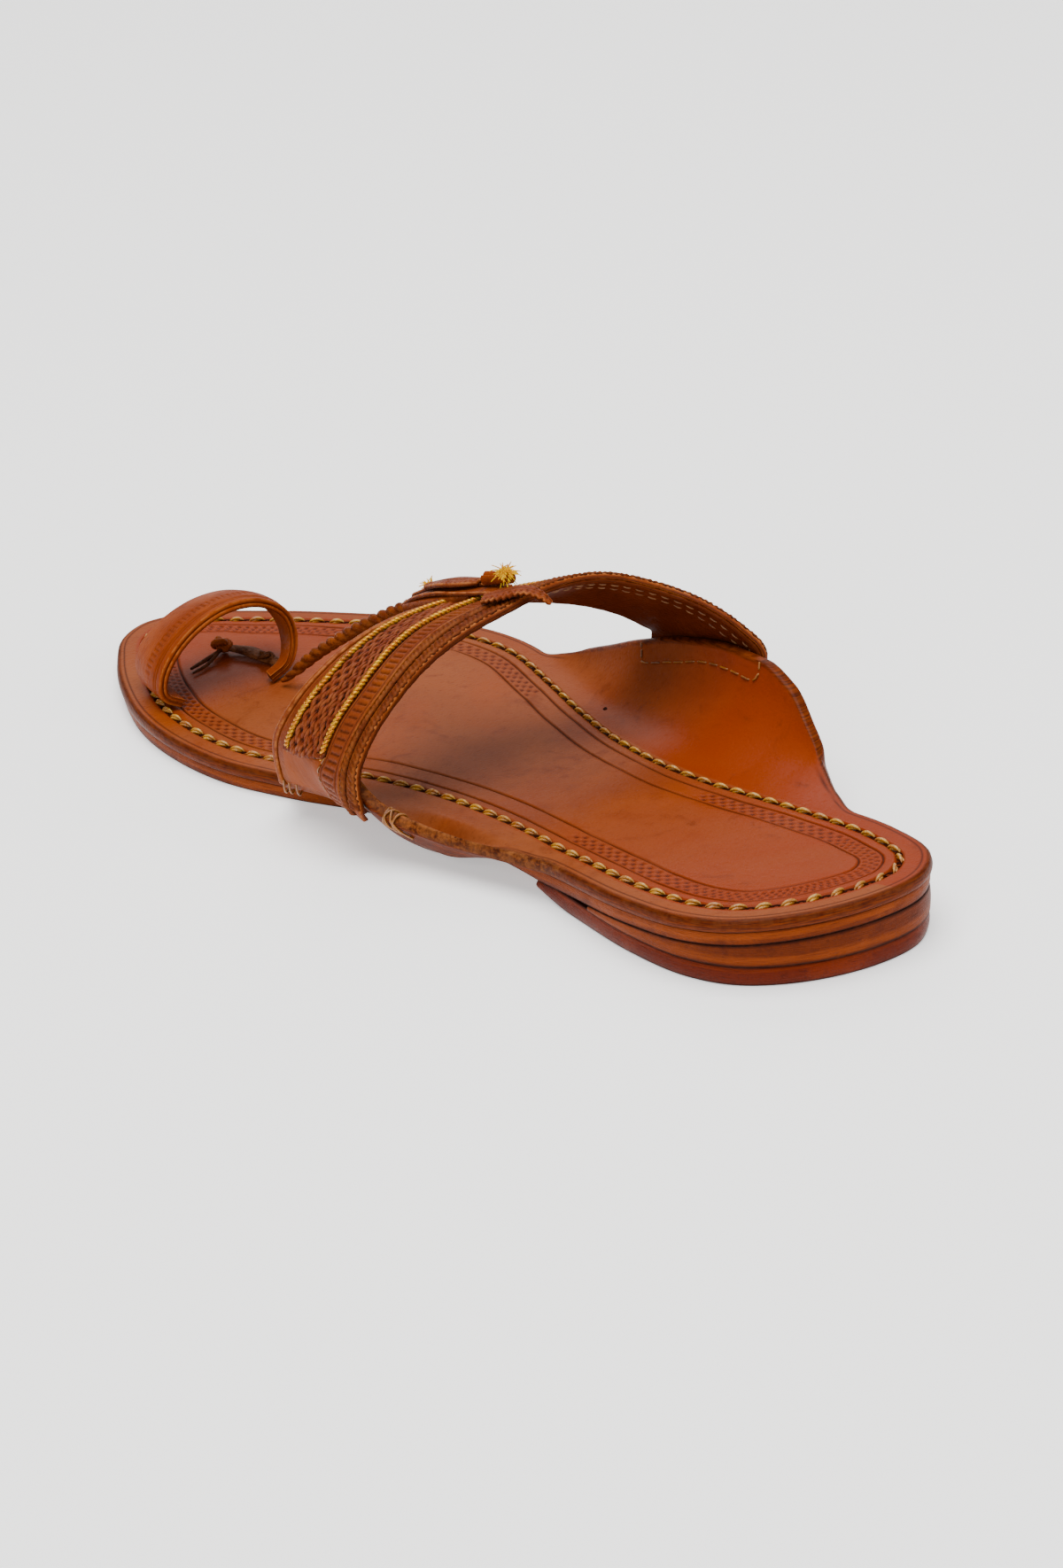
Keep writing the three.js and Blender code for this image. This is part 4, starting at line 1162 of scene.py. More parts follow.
# %% Strips laid on a surface
def strip_on(ground, skin, s0, s1, t0, t1, low, high, lip=0.5, step=0.6, step_t=0.8, carve=None,
             ragged=0.0, seed=1.0, sharp=2.4, worn=0.5, teeth=(0.0, 1.0)):
    """A slab between s0..s1 and t0..t1 whose upper side is lip-shaped: low + (high - low) *
    profile. s0 and s1 may be functions of t. `carve` gives a depth to take off, from mm across
    and mm along. The edges wander by `ragged` mm and have saw teeth of a depth and a pitch."""
    long = (t1 - t0) * ground.long
    b = crowded(long, step_t, lip) / long
    t = t0 + (t1 - t0) * b
    start, end = (side(t) if callable(side) else np.full(len(b), float(side)) for side in (s0, s1))
    wide = float(np.max((end - start) * ground.wide_at(t)))
    a = crowded(wide, step, lip) / wide
    t = np.broadcast_to(t[None, :], (len(a), len(b)))
    across, down = a[:, None], b[None, :]
    s0, s1 = start[None, :], end[None, :]
    local = (s1 - s0) * ground.wide_at(t)
    saw = teeth[0] * (2 * np.abs(np.mod(down * long / teeth[1], 1) - 0.5) - 0.5)
    wander = (ragged * ripple(t * ground.long / 1.1, 0, seed) + saw) / np.maximum(ground.wide_at(t), 0.5)
    wander = wander * smooth(0, 2.5, down * long) * smooth(0, 2.5, (1 - down) * long)
    s = s0 + (s1 - s0) * across + wander * np.where(across > 0.5, 1, -1) * np.abs(2 * across - 1)
    from_side, from_end = np.minimum(across, 1 - across) * local, np.minimum(down, 1 - down) * long
    profile = lip_height(from_side, lip, sharp) * lip_height(from_end, lip, sharp)
    cut = np.zeros(t.shape) if carve is None else carve(across * local, down * long + 0 * across, local)
    top = ground.at(s, t, low + (high - low - cut) * profile)
    bottom = ground.at(s, t, low - 0.12 * profile)
    rub = worn * (1 - smooth(0.0, 0.35, np.abs(profile - 0.82))) * (profile < 0.99)
    # Painted shade: darker down each strip's lip and in the grooves that `carve` cuts.
    shade = np.clip(np.clip(0.9 - 1.6 * profile, 0, 1) + np.clip(cut / 0.45, 0, 1) * 0.8, 0, 1)
    rub, shade = (np.concatenate([v, v[::-1]], axis=0) for v in (rub, shade))
    return skin.add(np.concatenate([top, bottom[::-1]], axis=0), rub=rub, shade=shade)


def rounded(t):
    """1 along the band and 0 at its two ends."""
    return window(0, 0.035, 0.965, 1, t)


def strap_and_lining():
    """The two full-width layers: the strap itself, its rear corners cut round, and the darker
    lining under it."""
    strap = strip_on(BAND, Skin(), 0.0, lambda t: 0.94 + 0.06 * rounded(t), 0.0, 1.0, -0.62, 0.55,
                     step=0.9, ragged=0.22, seed=2.0, worn=0.8)
    strap.make("band_strap", STRAP, "strap_leather", "instep_band")
    lining = strip_on(BAND, Skin(), 0.012, lambda t: 0.922 + 0.06 * rounded(t), 0.01, 0.99, -1.5, -0.75,
                      lip=0.35, step=0.9, ragged=0.3, seed=5.0)
    lining.make("band_lining", LINING, "strap_leather")


strap_and_lining()

# %% [markdown]
# ## Ornament of the band
# From front to rear the band carries a folded edge, a metal yarn, six thin plaits side by side, a
# second metal yarn, a leather strip punched with a ladder of short slots, and two rolled beads
# along the rear edge. Plaits and yarns end under a stitched bar above each ear, and below it a
# smooth, well-oiled panel covers the side. The rear half of this swings forward at the top, where
# everything gathers under the leaf.

# %% Where the rows run
BAR_AT = 0.112


def gathered(t):
    """1 at the top of the foot and 0 at the sides."""
    return window(0.2, 0.4, 0.62, 0.82, t)


def front_yarn(t):
    """Across place of the front yarn."""
    return 0.195 - 0.03 * gathered(t)


def rear_yarn(t):
    """Across place of the rear yarn, which swings forward at the top."""
    return 0.60 - 0.11 * gathered(t)


print("rear yarn at the side and at the top:", rear_yarn(0.1), rear_yarn(0.5))

# %% Folded edge, panels, ladder strip and beads
def ladder(across, down, local):
    """Slots of a ladder: fine bars punched across the middle of the strip, every 1.8 mm, and a
    scribed line along each side."""
    bar = ridge(np.mod(down + 0.2 * across, 1.8), 0.9, 0.3, 4)
    place = across / local
    lines = ridge(across, 0.11 * local, 0.2) + ridge(across, 0.83 * local, 0.2)
    return 0.36 * bar * window(0.17, 0.24, 0.7, 0.78, place) + 0.4 * lines


def knurl(across, down, local):
    """A rolled bead bound with fine thread: shallow slanting cuts every 1.3 mm."""
    cuts = (0.5 + 0.5 * np.cos(2 * np.pi * (down + 0.9 * across) / 1.3)) ** 2
    return 0.3 * cuts + 0.1 * ripple(down / 0.9, across, 7.0)


def faint_creases(across, down, local):
    """Long soft creases along a smooth panel."""
    return 0.05 * (1 + ripple(across / 2.1, down / 9.0, 3.0))


def whipping(across, down, local):
    """Stitches side by side across a bar, every 1.1 mm."""
    return 0.35 * (0.5 + 0.5 * np.cos(2 * np.pi * across / 1.1))


def after_yarn(gap):
    """A line that keeps the same distance behind the rear yarn, as a share of the width."""
    return lambda t: rear_yarn(t) + gap


def swinging(s):
    """A line at s that swings forward at the top, as the rear edge does."""
    return lambda t: s - 0.05 * gathered(t)


def band_ornament():
    """All the flat and rounded strips that lie on the strap."""
    folded = strip_on(BAND, Skin(), 0.0, 0.062, 0.012, 0.985, 0.3, 1.25, lip=0.9, step=0.35,
                      ragged=0.1, seed=3.0, worn=0.9)
    strip_on(BAND, folded, 0.075, lambda t: front_yarn(t) - 0.035, 0.02, 0.98, 0.4, 0.95, lip=0.4,
             step=0.5, carve=faint_creases)
    folded.make("band_front_fold", STRAP, "strap_leather")

    panels = Skin()
    for t0, t1 in ((0.022, BAR_AT - 0.004), (1 - BAR_AT + 0.004, 0.978)):
        strip_on(BAND, panels, 0.135, after_yarn(0.03), t0, t1, 0.4, 1.02, step=0.7,
                 carve=faint_creases, worn=0.25)
    panels.make("band_side_panels", PANEL, "strap_leather")

    ladder_strip = strip_on(BAND, Skin(), after_yarn(0.045), after_yarn(0.245), 0.02, 0.98, 0.45, 1.3,
                            lip=0.4, step=0.22, step_t=0.32, carve=ladder, worn=0.6)
    ladder_strip.make("band_ladder_strip", STRAP, "strap_leather")

    beads = strip_on(BAND, Skin(), after_yarn(0.25), swinging(0.905), 0.015, 0.985, 0.4, 1.7, lip=1.2,
                     step=0.3, step_t=0.3, carve=knurl, sharp=2.0, worn=0.3)
    strip_on(BAND, beads, swinging(0.912), 0.995, 0.03, 0.975, 0.3, 1.2, lip=0.9, step=0.35,
             step_t=0.35, carve=knurl, ragged=0.3, seed=8.0, sharp=2.0, worn=0.3, teeth=(0.35, 1.3))
    beads.make("band_rear_beads", BEAD, "strap_leather")

    bars = Skin()
    for t in (BAR_AT, 1 - BAR_AT):
        strip_on(BAND, bars, 0.15, after_yarn(0.03), t - 0.006, t + 0.006, 0.6, 1.7, step=0.3,
                 step_t=0.25, carve=whipping, sharp=2.0)
    bars.make("band_stitched_bars", BRAID, "strap_leather")


band_ornament()

# %% Plaits
PLAITS, STRANDS, PLAIT_PITCH = 6, 3, 11.5


def plait_rows():
    """A three-strand plait: each strand sways across by A sin(w) and dives by B sin(2w), a third
    of a turn behind the one before. Neighbouring plaits run in opposite time."""
    t = np.linspace(BAR_AT - 0.002, 1 - BAR_AT + 0.002, 330)
    turn = 2 * np.pi * t * BAND_MM / PLAIT_PITCH
    skin = Skin()
    front, rear = front_yarn(t) + 0.036, rear_yarn(t) - 0.034
    room = (rear - front) / PLAITS
    for k in range(PLAITS):
        place = front + room * (k + 0.5)
        gap = room * wide_at(t)
        wander = 0.05 * gap * ripple(t * 22, 0, 11.0 + k)
        for strand in range(STRANDS):
            w = turn * (1 if k % 2 else -1) + 2 * np.pi * strand / STRANDS + 0.9 * k
            s = place + (0.29 * gap * np.sin(w) + wander) / wide_at(t)
            height = 0.62 + 0.2 * gap * (1 + np.sin(2 * w)) + 0.12 * ripple(t * 31, 0, 3.0 * k + strand)
            radius = 0.27 * gap * (1 + 0.12 * ripple(t * 40, 0, 5.0 * strand + k))
            top = np.sin(2 * w)
            body = tube(on_band(s, t, height), radius, band_up(s, t)[len(t) // 2], sides=7)
            # Painted shade where a strand dives under the others, and a lighter top where it rises, partly
            # wear and partly a painted highlight.
            mark = np.concatenate([[0.9] * 3, np.clip(0.9 - 0.9 * (top + 0.55), 0, 1), [0.9] * 3])[:, None]
            worn = np.concatenate([[0] * 3, 0.35 * np.clip(top, 0, 1), [0] * 3])[:, None]
            skin.add(body, wrap_m=True, shade=mark, rub=worn)
    skin.make("band_plaits", BRAID, "strap_leather")


plait_rows()

# %% [markdown]
# ## Metal yarn
# The bright cords are zari: thin flat metal strip wound on a core, then two such threads twisted
# together. Every turn of the strip is a tiny facet that flashes on its own, so the finish breaks
# the surface into small cells, each a little lighter, darker or duller than the next.

# %% Metal yarn finish and cords
def metal_yarn():
    """Gilt strip: cells with tilted faces, each coloured between a dark orange and a bright yellow as
    painted shade and painted glints, and darker tarnish between them.
    """
    made, tree, shader, where = finish_of("metal_yarn")
    cell = node(tree, "TexVoronoi", {"Vector": where, "Scale": 2000.0})
    flash = node(tree, "SeparateColor", {"Color": cell.outputs["Color"]})
    bright = flash.outputs[0]
    # Painted glints and painted shade: each cell's colour runs from dark orange to bright yellow by its
    # random value.
    colour = blend_of(tree, bright, rgb(232, 122, 6), rgb(255, 200, 54))
    tarnish = noise(tree, where, 500.0, 3.0, 0.6)
    colour = blend_of(tree, ramp(tree, tarnish, 0.5, 0.7, 0.0, 0.7), colour, rgb(130, 64, 10))
    # Painted shade where the `shade` mark is set; the yarn cords set it to 0.
    colour = blend_of(tree, mark_of(tree, "shade"), colour, rgb(60, 28, 8))
    fill(shader, Base_Color=colour, Roughness=ramp(tree, flash.outputs[1], 0, 1, 0.18, 0.5), Metallic=0.6,
         Normal=bumped(tree, flash.outputs[2], 0.9, 0.00025))
    return made


METAL_YARN = metal_yarn()
YARN_SPREAD, YARN_PITCH, YARN_PLY = 0.36, 2.4, 0.44


def yarn_cords():
    """Two cords of two plies each, laid along the rows, their ends bent down under the bars."""
    t = np.linspace(BAR_AT - 0.006, 1 - BAR_AT + 0.006, 520)
    ends = window(BAR_AT - 0.006, BAR_AT + 0.012, 1 - BAR_AT - 0.012, 1 - BAR_AT + 0.006, t)
    skin = Skin()
    for row, seed in ((front_yarn, 1.0), (rear_yarn, 6.0)):
        s = row(t) + 0.09 * ripple(t * 30, 0, seed) / wide_at(t)
        line = on_band(s, t, 1.45 - 1.1 * (1 - ends))
        for centre in plies(line, YARN_SPREAD, YARN_PITCH, band_up(s, t)):
            skin.add(tube(centre, YARN_PLY, band_up(s, t)[260], sides=8), wrap_m=True, shade=0.0)
    skin.make("band_metal_yarns", METAL_YARN, "strap_leather")


yarn_cords()

# %% Rows of stitches on the lining
def band_stitches(skin, s, t0, t1, pitch, length, radius, height, rise):
    """A row of running stitches along s(t): each a low bridge, height + rise * (1 - x^2)."""
    number = int((t1 - t0) * BAND_MM / pitch)
    middle = t0 + (np.arange(number) + 0.5) / number * (t1 - t0)
    x = np.linspace(-1, 1, 7)
    t = middle[:, None] + x * length / 2 / BAND_MM
    place = s(t) + 0.12 * ripple(middle * 60, 0, 2.0)[:, None] / wide_at(t)
    line = on_band(place, t, height + rise * (1 - x**2))
    return skin.add(tube(line, radius * (1 - 0.3 * x**4), (0, 0, 1), sides=6), wrap_m=True)


lining_rows, edge_rows = Skin(), Skin()
for row in (lambda t: 0.905 - 0.02 * gathered(t), lambda t: 0.80 - 0.05 * gathered(t)):
    band_stitches(lining_rows, row, 0.05, 0.95, 3.1, 2.1, 0.2, -1.5, -0.22)
lining_rows.make("lining_stitches", BEIGE_THREAD, "strap_leather")
for t0, t1 in ((0.03, BAR_AT), (1 - BAR_AT, 0.97)):
    band_stitches(edge_rows, after_yarn(0.036), t0, t1, 2.4, 1.7, 0.22, 1.0, 0.25)
edge_rows.make("panel_stitches", OCHRE_THREAD, "strap_leather")

# %% [markdown]
# ## The toe loop
# The big toe goes through a loop of doubled leather that stands across the forefoot. Its rear rim
# is cut clean, so the two layers show. It leans forward and narrows towards its outer foot, where
# it runs into the insole almost as a point. A row of short slots is punched along its outside.

# %% Loop surface and layers
LOOP_RIM = [(38.6, -79, 7.9), (42.6, -80.5, 10.6), (42.4, -80.5, 15.6), (37.8, -80.5, 21.6),
            (30, -80.5, 26.4), (21.2, -80.5, 28.4), (11.8, -80.5, 26.8), (5, -80.5, 21.4), (3.8, -79.8, 15),
            (7.4, -77.4, 9.8), (14.4, -75.4, 7.9)]
LOOP_REAR_X, LOOP_FRONT_X, LOOP_RUN, LOOP_WIDE, LOOP_TALL = 25, 20.5, -22, 0.96, 0.74


LOOP_LINES, LOOP_POINTS = 25, 201


def loop_surface():
    """From the rear rim forward: x and z shrink towards the front rim while y runs forward, and
    the strap bows out by 4 percent between its two rims."""
    rim = spaced(curve_through(LOOP_RIM), LOOP_POINTS)[None]
    t = np.linspace(0, 1, LOOP_POINTS)[None, :]
    width = 0.7 + 0.3 * smooth(0, 0.2, t) - 0.84 * smooth(0.55, 0.98, t)
    s = np.linspace(0, 1, LOOP_LINES)[:, None] * width
    bow = 1 + 0.04 * np.sin(np.pi * s)
    floor_z = LOOP_RIM[0][2]
    x = (rim[..., 0] - LOOP_REAR_X) * (1 + (LOOP_WIDE - 1) * s) * bow
    x = LOOP_REAR_X + (LOOP_FRONT_X - LOOP_REAR_X) * s + x
    z = floor_z + (rim[..., 2] - floor_z) * (1 + (LOOP_TALL - 1) * s) * bow
    return np.stack([x, rim[..., 1] + LOOP_RUN * s, z], axis=-1)


LOOP = Ground(loop_surface())


def loop_slots(across, down, local):
    """Fine slots every 1.5 mm in the middle of the strap, and two scribed lines behind them."""
    bar = ridge(np.mod(down, 1.5), 0.75, 0.24, 4)
    punched = window(6.4, 6.9, 9.6, 10.1, across) * window(6, 12, 44, 52, down)
    lines = ridge(across, 2.6, 0.22) + ridge(across, 3.8, 0.22)
    return 0.2 * bar * punched + 0.32 * lines * (local > 6)


LOOP_LEATHER = leather("loop_leather", (150, 66, 24), (96, 38, 16), (180, 88, 26), 0.55, 55, 0.4, 1400, 0.3,
                       (184, 110, 62), (52, 20, 10), 0.0)
loop = strip_on(LOOP, Skin(), 0.0, 1.0, 0.0, 1.0, -1.0, 0.0, lip=0.45, step=0.7, ragged=0.05, worn=0.9)
strip_on(LOOP, loop, 0.012, 0.99, 0.002, 0.998, 0.12, 1.2, lip=0.4, step=0.4, step_t=0.34,
         carve=loop_slots, worn=1.0)
loop.make("toe_loop_leather", LOOP_LEATHER, "strap_leather", "toe_loop")

# %% [markdown]
# ## Twisted cord
# A leather lace is doubled and twisted into a cord that ties the loop to the top of the band and
# keeps the big toe's strap from falling over. It is held at both ends and pulled nearly straight.

# %% The cord
CORD_LINE = [(11.2, -69.6, 10.6), (8.6, -65, 15.2), (6.2, -56, 21.8), (4.2, -46, 28.2), (2.2, -36, 34),
             (1.2, -28.6, 37.8)]


# The length of one turn, how far each ply lies off the cord's line, and a ply's radius, in mm.
CORD_PITCH, PLY_SPREAD, PLY_RADIUS = 7.6, 0.64, 1.22


def laid_cord():
    """Two plies that run round the cord's line, pulled in to it at both ends, slightly flattened."""
    line = spaced(curve_through([(12.6, -72.4, 8.2), *CORD_LINE, (0.6, -22, 41.6)]), 190)
    way = np.linspace(0, 1, 190)
    pull = 1 - 0.35 * smooth(0.9, 1, way) - 0.45 * (1 - smooth(0, 0.16, way))
    skin = Skin()
    for k, centre in enumerate(plies(line, PLY_SPREAD, CORD_PITCH, (1, 0, 0))):
        side = line + (centre - line) * pull[:, None]
        radius = PLY_RADIUS * (1 + 0.05 * ripple(lengths(line) / 1.9, 0, 3.0 + k))
        skin.add(tube(side, radius * pull, (1, 0, 0), sides=12, flat=0.92), wrap_m=True, shade=0.1, rub=0.2)
    skin.make("laid_cord", CORD_LEATHER, "cord_leather", "twisted_cord")
    print("cord, mm:", round(float(lengths(line)[-1]), 1))


CORD_LEATHER = leather("cord_leather", (122, 54, 26), (62, 24, 13), (170, 84, 34), 0.45, 220, 0.8, 1500,
                       0.5, (190, 116, 60), (40, 15, 8), 0.1)
laid_cord()

# %% [markdown]
# ## The ornament
# Where cord and band meet sits a little bundle of leather: a long folded leaf that swallows the
# cord's end, a smaller leaf on it, a scrap rolled into a scroll, and a pointed tab with pinked,
# saw-toothed edges that hangs over the rear edge. Tufts of yellow silk stick out of the bundle.

# %% Leaves, tab and scroll
LEAF_LOWER = [(1, -27.4, 39.5), (0.4, -19, 43.9), (-0.5, -11.4, 46.7), (-1.1, -4, 48.6), (-2, 2.4, 50.3),
              (-2.6, 8.5, 51.9)]
LEAF_TUCKED = [(1.6, -25, 38.9), (1.2, -18, 42.2), (0.7, -11.8, 44.6), (0, -5.5, 46.6), (-0.8, 0.5, 48.2)]
LEAF_UPPER = [(0.8, -19, 45.8), (0.2, -12, 48.4), (-0.8, -5.5, 50.1), (-1.8, 0, 51.6)]
TAB_LINE = [(4.6, 9.8, 52), (1.6, 13.6, 53.4), (-1.8, 17.6, 54.5), (-4.2, 20.8, 53.4), (-5.8, 22.8, 51)]


LEAF_LINES, LEAF_POINTS = 21, 61


def leaf_ground(points, width_at, bow, fold=0.0):
    """A leaf's surface: to either side of a line by half its width, raised in the middle by
    bow * (1 - v^2), and with its inner edge folded up by fold * v^4."""
    line = spaced(curve_through(points), LEAF_POINTS)
    t = np.linspace(0, 1, LEAF_POINTS)
    forward = unit(np.gradient(line, axis=0))
    side = unit(np.cross(forward, [0, 0, 1.0]))
    up = np.cross(side, forward)
    v = np.linspace(-1, 1, LEAF_LINES)[:, None]
    rise = bow * (1 - v**2) + fold * np.clip(v, 0, 1) ** 4 * np.sin(np.pi * t)[None, :]
    sideways = side[None] * (v * width_at(t)[None, :] / 2)[..., None]
    return Ground(line[None] + sideways + up[None] * rise[..., None])


def stitched_rim(across, down, local):
    """A line of small pricks round a leaf, 1 mm in from its edge, and a crease down its middle."""
    near = np.minimum(across, local - across)
    pricks = ridge(near, 1.0, 0.28) * (0.5 + 0.5 * np.cos(2 * np.pi * down / 1.5)) ** 2
    return 0.3 * pricks + 0.22 * ridge(across, local / 2, 0.35)


LEAF_LEATHER = leather("leaf_leather", (142, 68, 40), (80, 32, 18), (176, 92, 50), 0.4, 110, 0.6, 1300,
                       0.5, (210, 134, 88), (40, 14, 8), 0.2)


def lower_width(t):
    """Width of the lower leaf, 11 mm at its middle and 6 mm at its ends."""
    return 4.6 + 6.4 * np.sin(np.pi * np.clip(0.86 * t + 0.08, 0, 1))


def tab_width(t):
    """Width of the tab, running out to 0.9 mm along a square root."""
    return 0.9 + 6.0 * np.sqrt(1 - t) * (0.72 + 0.28 * np.minimum(1, t * 4))


def lower_leaf():
    """The folded lower leaf, the knurled strip laid on it, and the plain leaf tucked in behind."""
    lower = leaf_ground(LEAF_LOWER, lower_width, 0.5, 1.1)
    skin = strip_on(lower, Skin(), 0, 1, 0, 1, -0.6, 0.25, lip=0.4, step=0.3, step_t=0.35,
                    carve=stitched_rim, ragged=0.18, seed=3.0, worn=1.0)
    strip_on(lower, skin, 0.08, 0.5, 0.03, 0.93, 0.3, 1.15, lip=0.5, step=0.3, step_t=0.4,
             carve=knurl, ragged=0.2, seed=6.0, worn=1.0)
    tucked = leaf_ground(LEAF_TUCKED, lambda t: 6.6 + 3.0 * np.sin(np.pi * t), 0.6)
    strip_on(tucked, skin, 0, 1, 0, 1, -0.9, 1.35, lip=0.5, step=0.4, step_t=0.4, ragged=0.2,
             seed=7.0, worn=0.2)
    skin.make("leaf_lower", LEAF_LEATHER, "ornament_leather", "ornament_leaf_lower")


def upper_leaf():
    """The smaller leaf that lies over the fold of the lower one."""
    upper = leaf_ground(LEAF_UPPER, lambda t: 3 + 4 * np.sin(np.pi * t), 0.5, 0.7)
    skin = strip_on(upper, Skin(), 0, 1, 0, 1, -0.5, 0.5, lip=0.45, step=0.3, step_t=0.35,
                    carve=stitched_rim, ragged=0.2, seed=4.0, worn=1.0)
    skin.make("leaf_upper", LEAF_LEATHER, "ornament_leather", "ornament_leaf_upper")


def pinked_tab():
    """The long tab with saw teeth 1.5 mm apart and 0.75 mm deep along its edges."""
    tab = leaf_ground(TAB_LINE, tab_width, 0.4, 0.0)
    skin = strip_on(tab, Skin(), 0.04, 0.96, 0, 0.985, -0.55, 0.45, lip=0.3, step=0.25, step_t=0.2,
                    carve=stitched_rim, ragged=0.1, seed=9.0, teeth=(0.75, 1.5), worn=1.0)
    skin.make("pinked_tab", LEAF_LEATHER, "ornament_leather", "ornament_tab")


def scroll():
    """A scrap rolled up: reach from its axis grows with the angle, as in a spiral, for 2.1 turns."""
    first, last = -0.6, 4.2 * np.pi
    start, end = np.array([-2, 2.0, 53.3]), np.array([-3.4, 10.6, 55.4])
    axis = unit(end - start)
    side = unit(np.cross(axis, [0, 0, 1.0]))
    up = np.cross(side, axis)
    angle = np.linspace(first, last, 90)[:, None]
    along_axis = np.linspace(0, 1, 31)[None, :]
    reach = (0.55 + 1.25 * (angle - first) / (last - first)) * (1 - 0.12 * along_axis)
    ring = side * (reach * np.cos(angle))[..., None] + up * (reach * np.sin(angle))[..., None]
    slid = along_axis + 0.05 * np.sin(2 * angle) / 2
    spiral = start + (end - start) * slid[..., None] + ring
    roll = strip_on(Ground(spiral), Skin(), 0, 1, 0, 1, -0.2, 0.2, lip=0.2, step=0.35, step_t=0.4,
                    ragged=0.15, seed=2.0, worn=1.0)
    roll.make("rolled_scrap", LOOP_LEATHER, "ornament_leather", "ornament_roll")


lower_leaf()
upper_leaf()
pinked_tab()
scroll()

# %% Silk tufts
def silk():
    """Dyed silk: strong yellow with orange roots, and a painted glow: a little emission makes it bright."""
    made, tree, shader, where = finish_of("yellow_silk_painted_glow")
    shine = noise(tree, where, 900.0, 2.0)
    colour = blend_of(tree, ramp(tree, shine, 0.4, 0.62), rgb(246, 164, 2), rgb(255, 214, 8))
    colour = blend_of(tree, mark_of(tree, "shade"), colour, rgb(214, 96, 20))
    # Painted glow: the silk emits a little light though it is no lamp.
    fill(shader, Base_Color=colour, Roughness=0.6, Specular_IOR_Level=0.05,
         Emission_Color=(1.0, 0.6, 0.0, 1), Emission_Strength=0.25)
    return made


def tuft(skin, root, lean, number, long, fan, seed):
    """Threads from one root: each bends over by the square of the way along it."""
    draw = np.random.default_rng(seed)
    way = unit(np.array(lean) + fan * draw.normal(size=(number, 3)))
    droop = np.array([0, 0, -1.0]) * draw.uniform(0.1, 0.5, (number, 1))
    start = np.array(root) + 0.45 * draw.normal(size=(number, 3)) * [1, 1, 0.3]
    far = long * draw.uniform(0.6, 1.1, (number, 1, 1))
    x = np.linspace(0, 1, 6)[:, None]
    line = start[:, None] + way[:, None] * far * x + droop[:, None] * far * x**2
    return skin.add(tube(line, 0.2 * (1 - 0.5 * x[:, 0]), (1, 0.2, 0), sides=5), wrap_m=True,
                    shade=np.concatenate([[1, 1, 1], 1 - 1.4 * x[:, 0], [0, 0, 0]]).clip(0, 1)[:, None])


SILK = silk()
tufts = tuft(Skin(), (-3.0, 8.2, 56.2), (0.1, 0.6, 0.35), 110, 3.6, 0.4, 3)
tuft(tufts, (0.4, -19.0, 46.0), (0.2, -0.5, 0.8), 16, 2.6, 0.4, 5)
tufts.make("silk_tufts", SILK, "ornament_leather")

# %% [markdown]
# ## Thongs and knots in the loop
# Inside the loop lies a dark thong, tied off. A knot is simply its own path: the trefoil, which
# winds twice round a ring while it goes three times through it, drawn tight.

# %% Thong and knots
def trefoil(centre, size, thick, lean=0.0, flat=1.0):
    """A closed tube along x = (2 + cos 3a) cos 2a, y = (2 + cos 3a) sin 2a, z = sin 3a."""
    a = np.linspace(0, 2 * np.pi, 91)[:-1]
    x, y, z = (2 + np.cos(3 * a)) * np.cos(2 * a), (2 + np.cos(3 * a)) * np.sin(2 * a), 1.3 * np.sin(3 * a)
    turned = [x * math.cos(lean) - z * math.sin(lean), y * flat, x * math.sin(lean) + z * math.cos(lean)]
    line = np.array(centre) + np.stack(turned, axis=1) * size / 3
    tangent = unit(np.roll(line, -1, axis=0) - np.roll(line, 1, axis=0))
    side = unit(np.cross(tangent, line - np.array(centre)))
    other = np.cross(tangent, side)
    b = (np.arange(9) * 2 * np.pi / 9)[:, None]
    return line[:, None] + thick * (side[:, None] * np.cos(b) + other[:, None] * np.sin(b))


# Each tail: its route, how thick and how flat it is, and 1 where it is of the paler leather.
TAILS = [
    ([(24.6, -98.2, 7.3), (20, -99.2, 7.7), (16, -99.6, 8.4), (12.8, -100.6, 8.8)], 0.55, 1.2, 0.0),
    ([(25.5, -95.6, 7.2), (20.5, -97.0, 7.5), (16.4, -99, 8.2), (13.2, -101, 8.8)], 0.45, 1.2, 0.0),
    ([(11.8, -100.2, 8.6), (9.4, -95.4, 8.4), (8.0, -90.4, 8.0), (6.6, -84.5, 7.6)], 0.62, 3.0, 1.0),
    ([(10.8, -101.4, 8.0), (7.4, -96.4, 7.8), (6.4, -91.4, 7.5)], 0.5, 2.2, 1.0),
]


def loop_ties():
    """The ball knot, the flat knot beside it, and two thongs whose tails cross."""
    dark = leather("thong_leather", (92, 48, 28), (44, 20, 12), (130, 74, 44), 0.55, 150, 0.6, 1200, 0.6,
                   (160, 104, 72), (24, 10, 6), 0.0)
    ball = Skin().add(trefoil((12.6, -102, 9.2), 2.1, 1.0, 0.5), wrap_n=True, wrap_m=True,
                      shade=0.1, rub=0.3)
    ball.make("ball_knot", LOOP_LEATHER, "cord_leather", "loop_knot")
    tails = Skin()
    for route, thick, flat, pale in TAILS:
        line = spaced(curve_through(route), 40)
        wide = thick * (0.45 + 0.55 * np.sin(np.pi * np.linspace(0.06, 0.8, 40)) ** 0.7)
        tails.add(tube(line, wide, (0.2, 0.1, 0.97), sides=10, flat=flat), wrap_m=True,
                  shade=0.25 * (1 - pale), rub=0.7 * pale)
    tails.add(trefoil((7.6, -88.6, 8.2), 1.7, 0.6, 0.2, 1.3), wrap_n=True, wrap_m=True, shade=0.1, rub=0.4)
    tails.make("tied_thong", dark, "cord_leather", "loop_thong")


loop_ties()

# %% [markdown]
# ## Ties and threads on the ears
# Each ear is held to the band by a waxed thread. On the outer ear it shows inside as three sides
# of a box, and on the inner ear it is whipped over the raw rim beside the band. The threads are
# drawn with the same two numbers as the ears: y along the sole, and u from the fold to the rim.

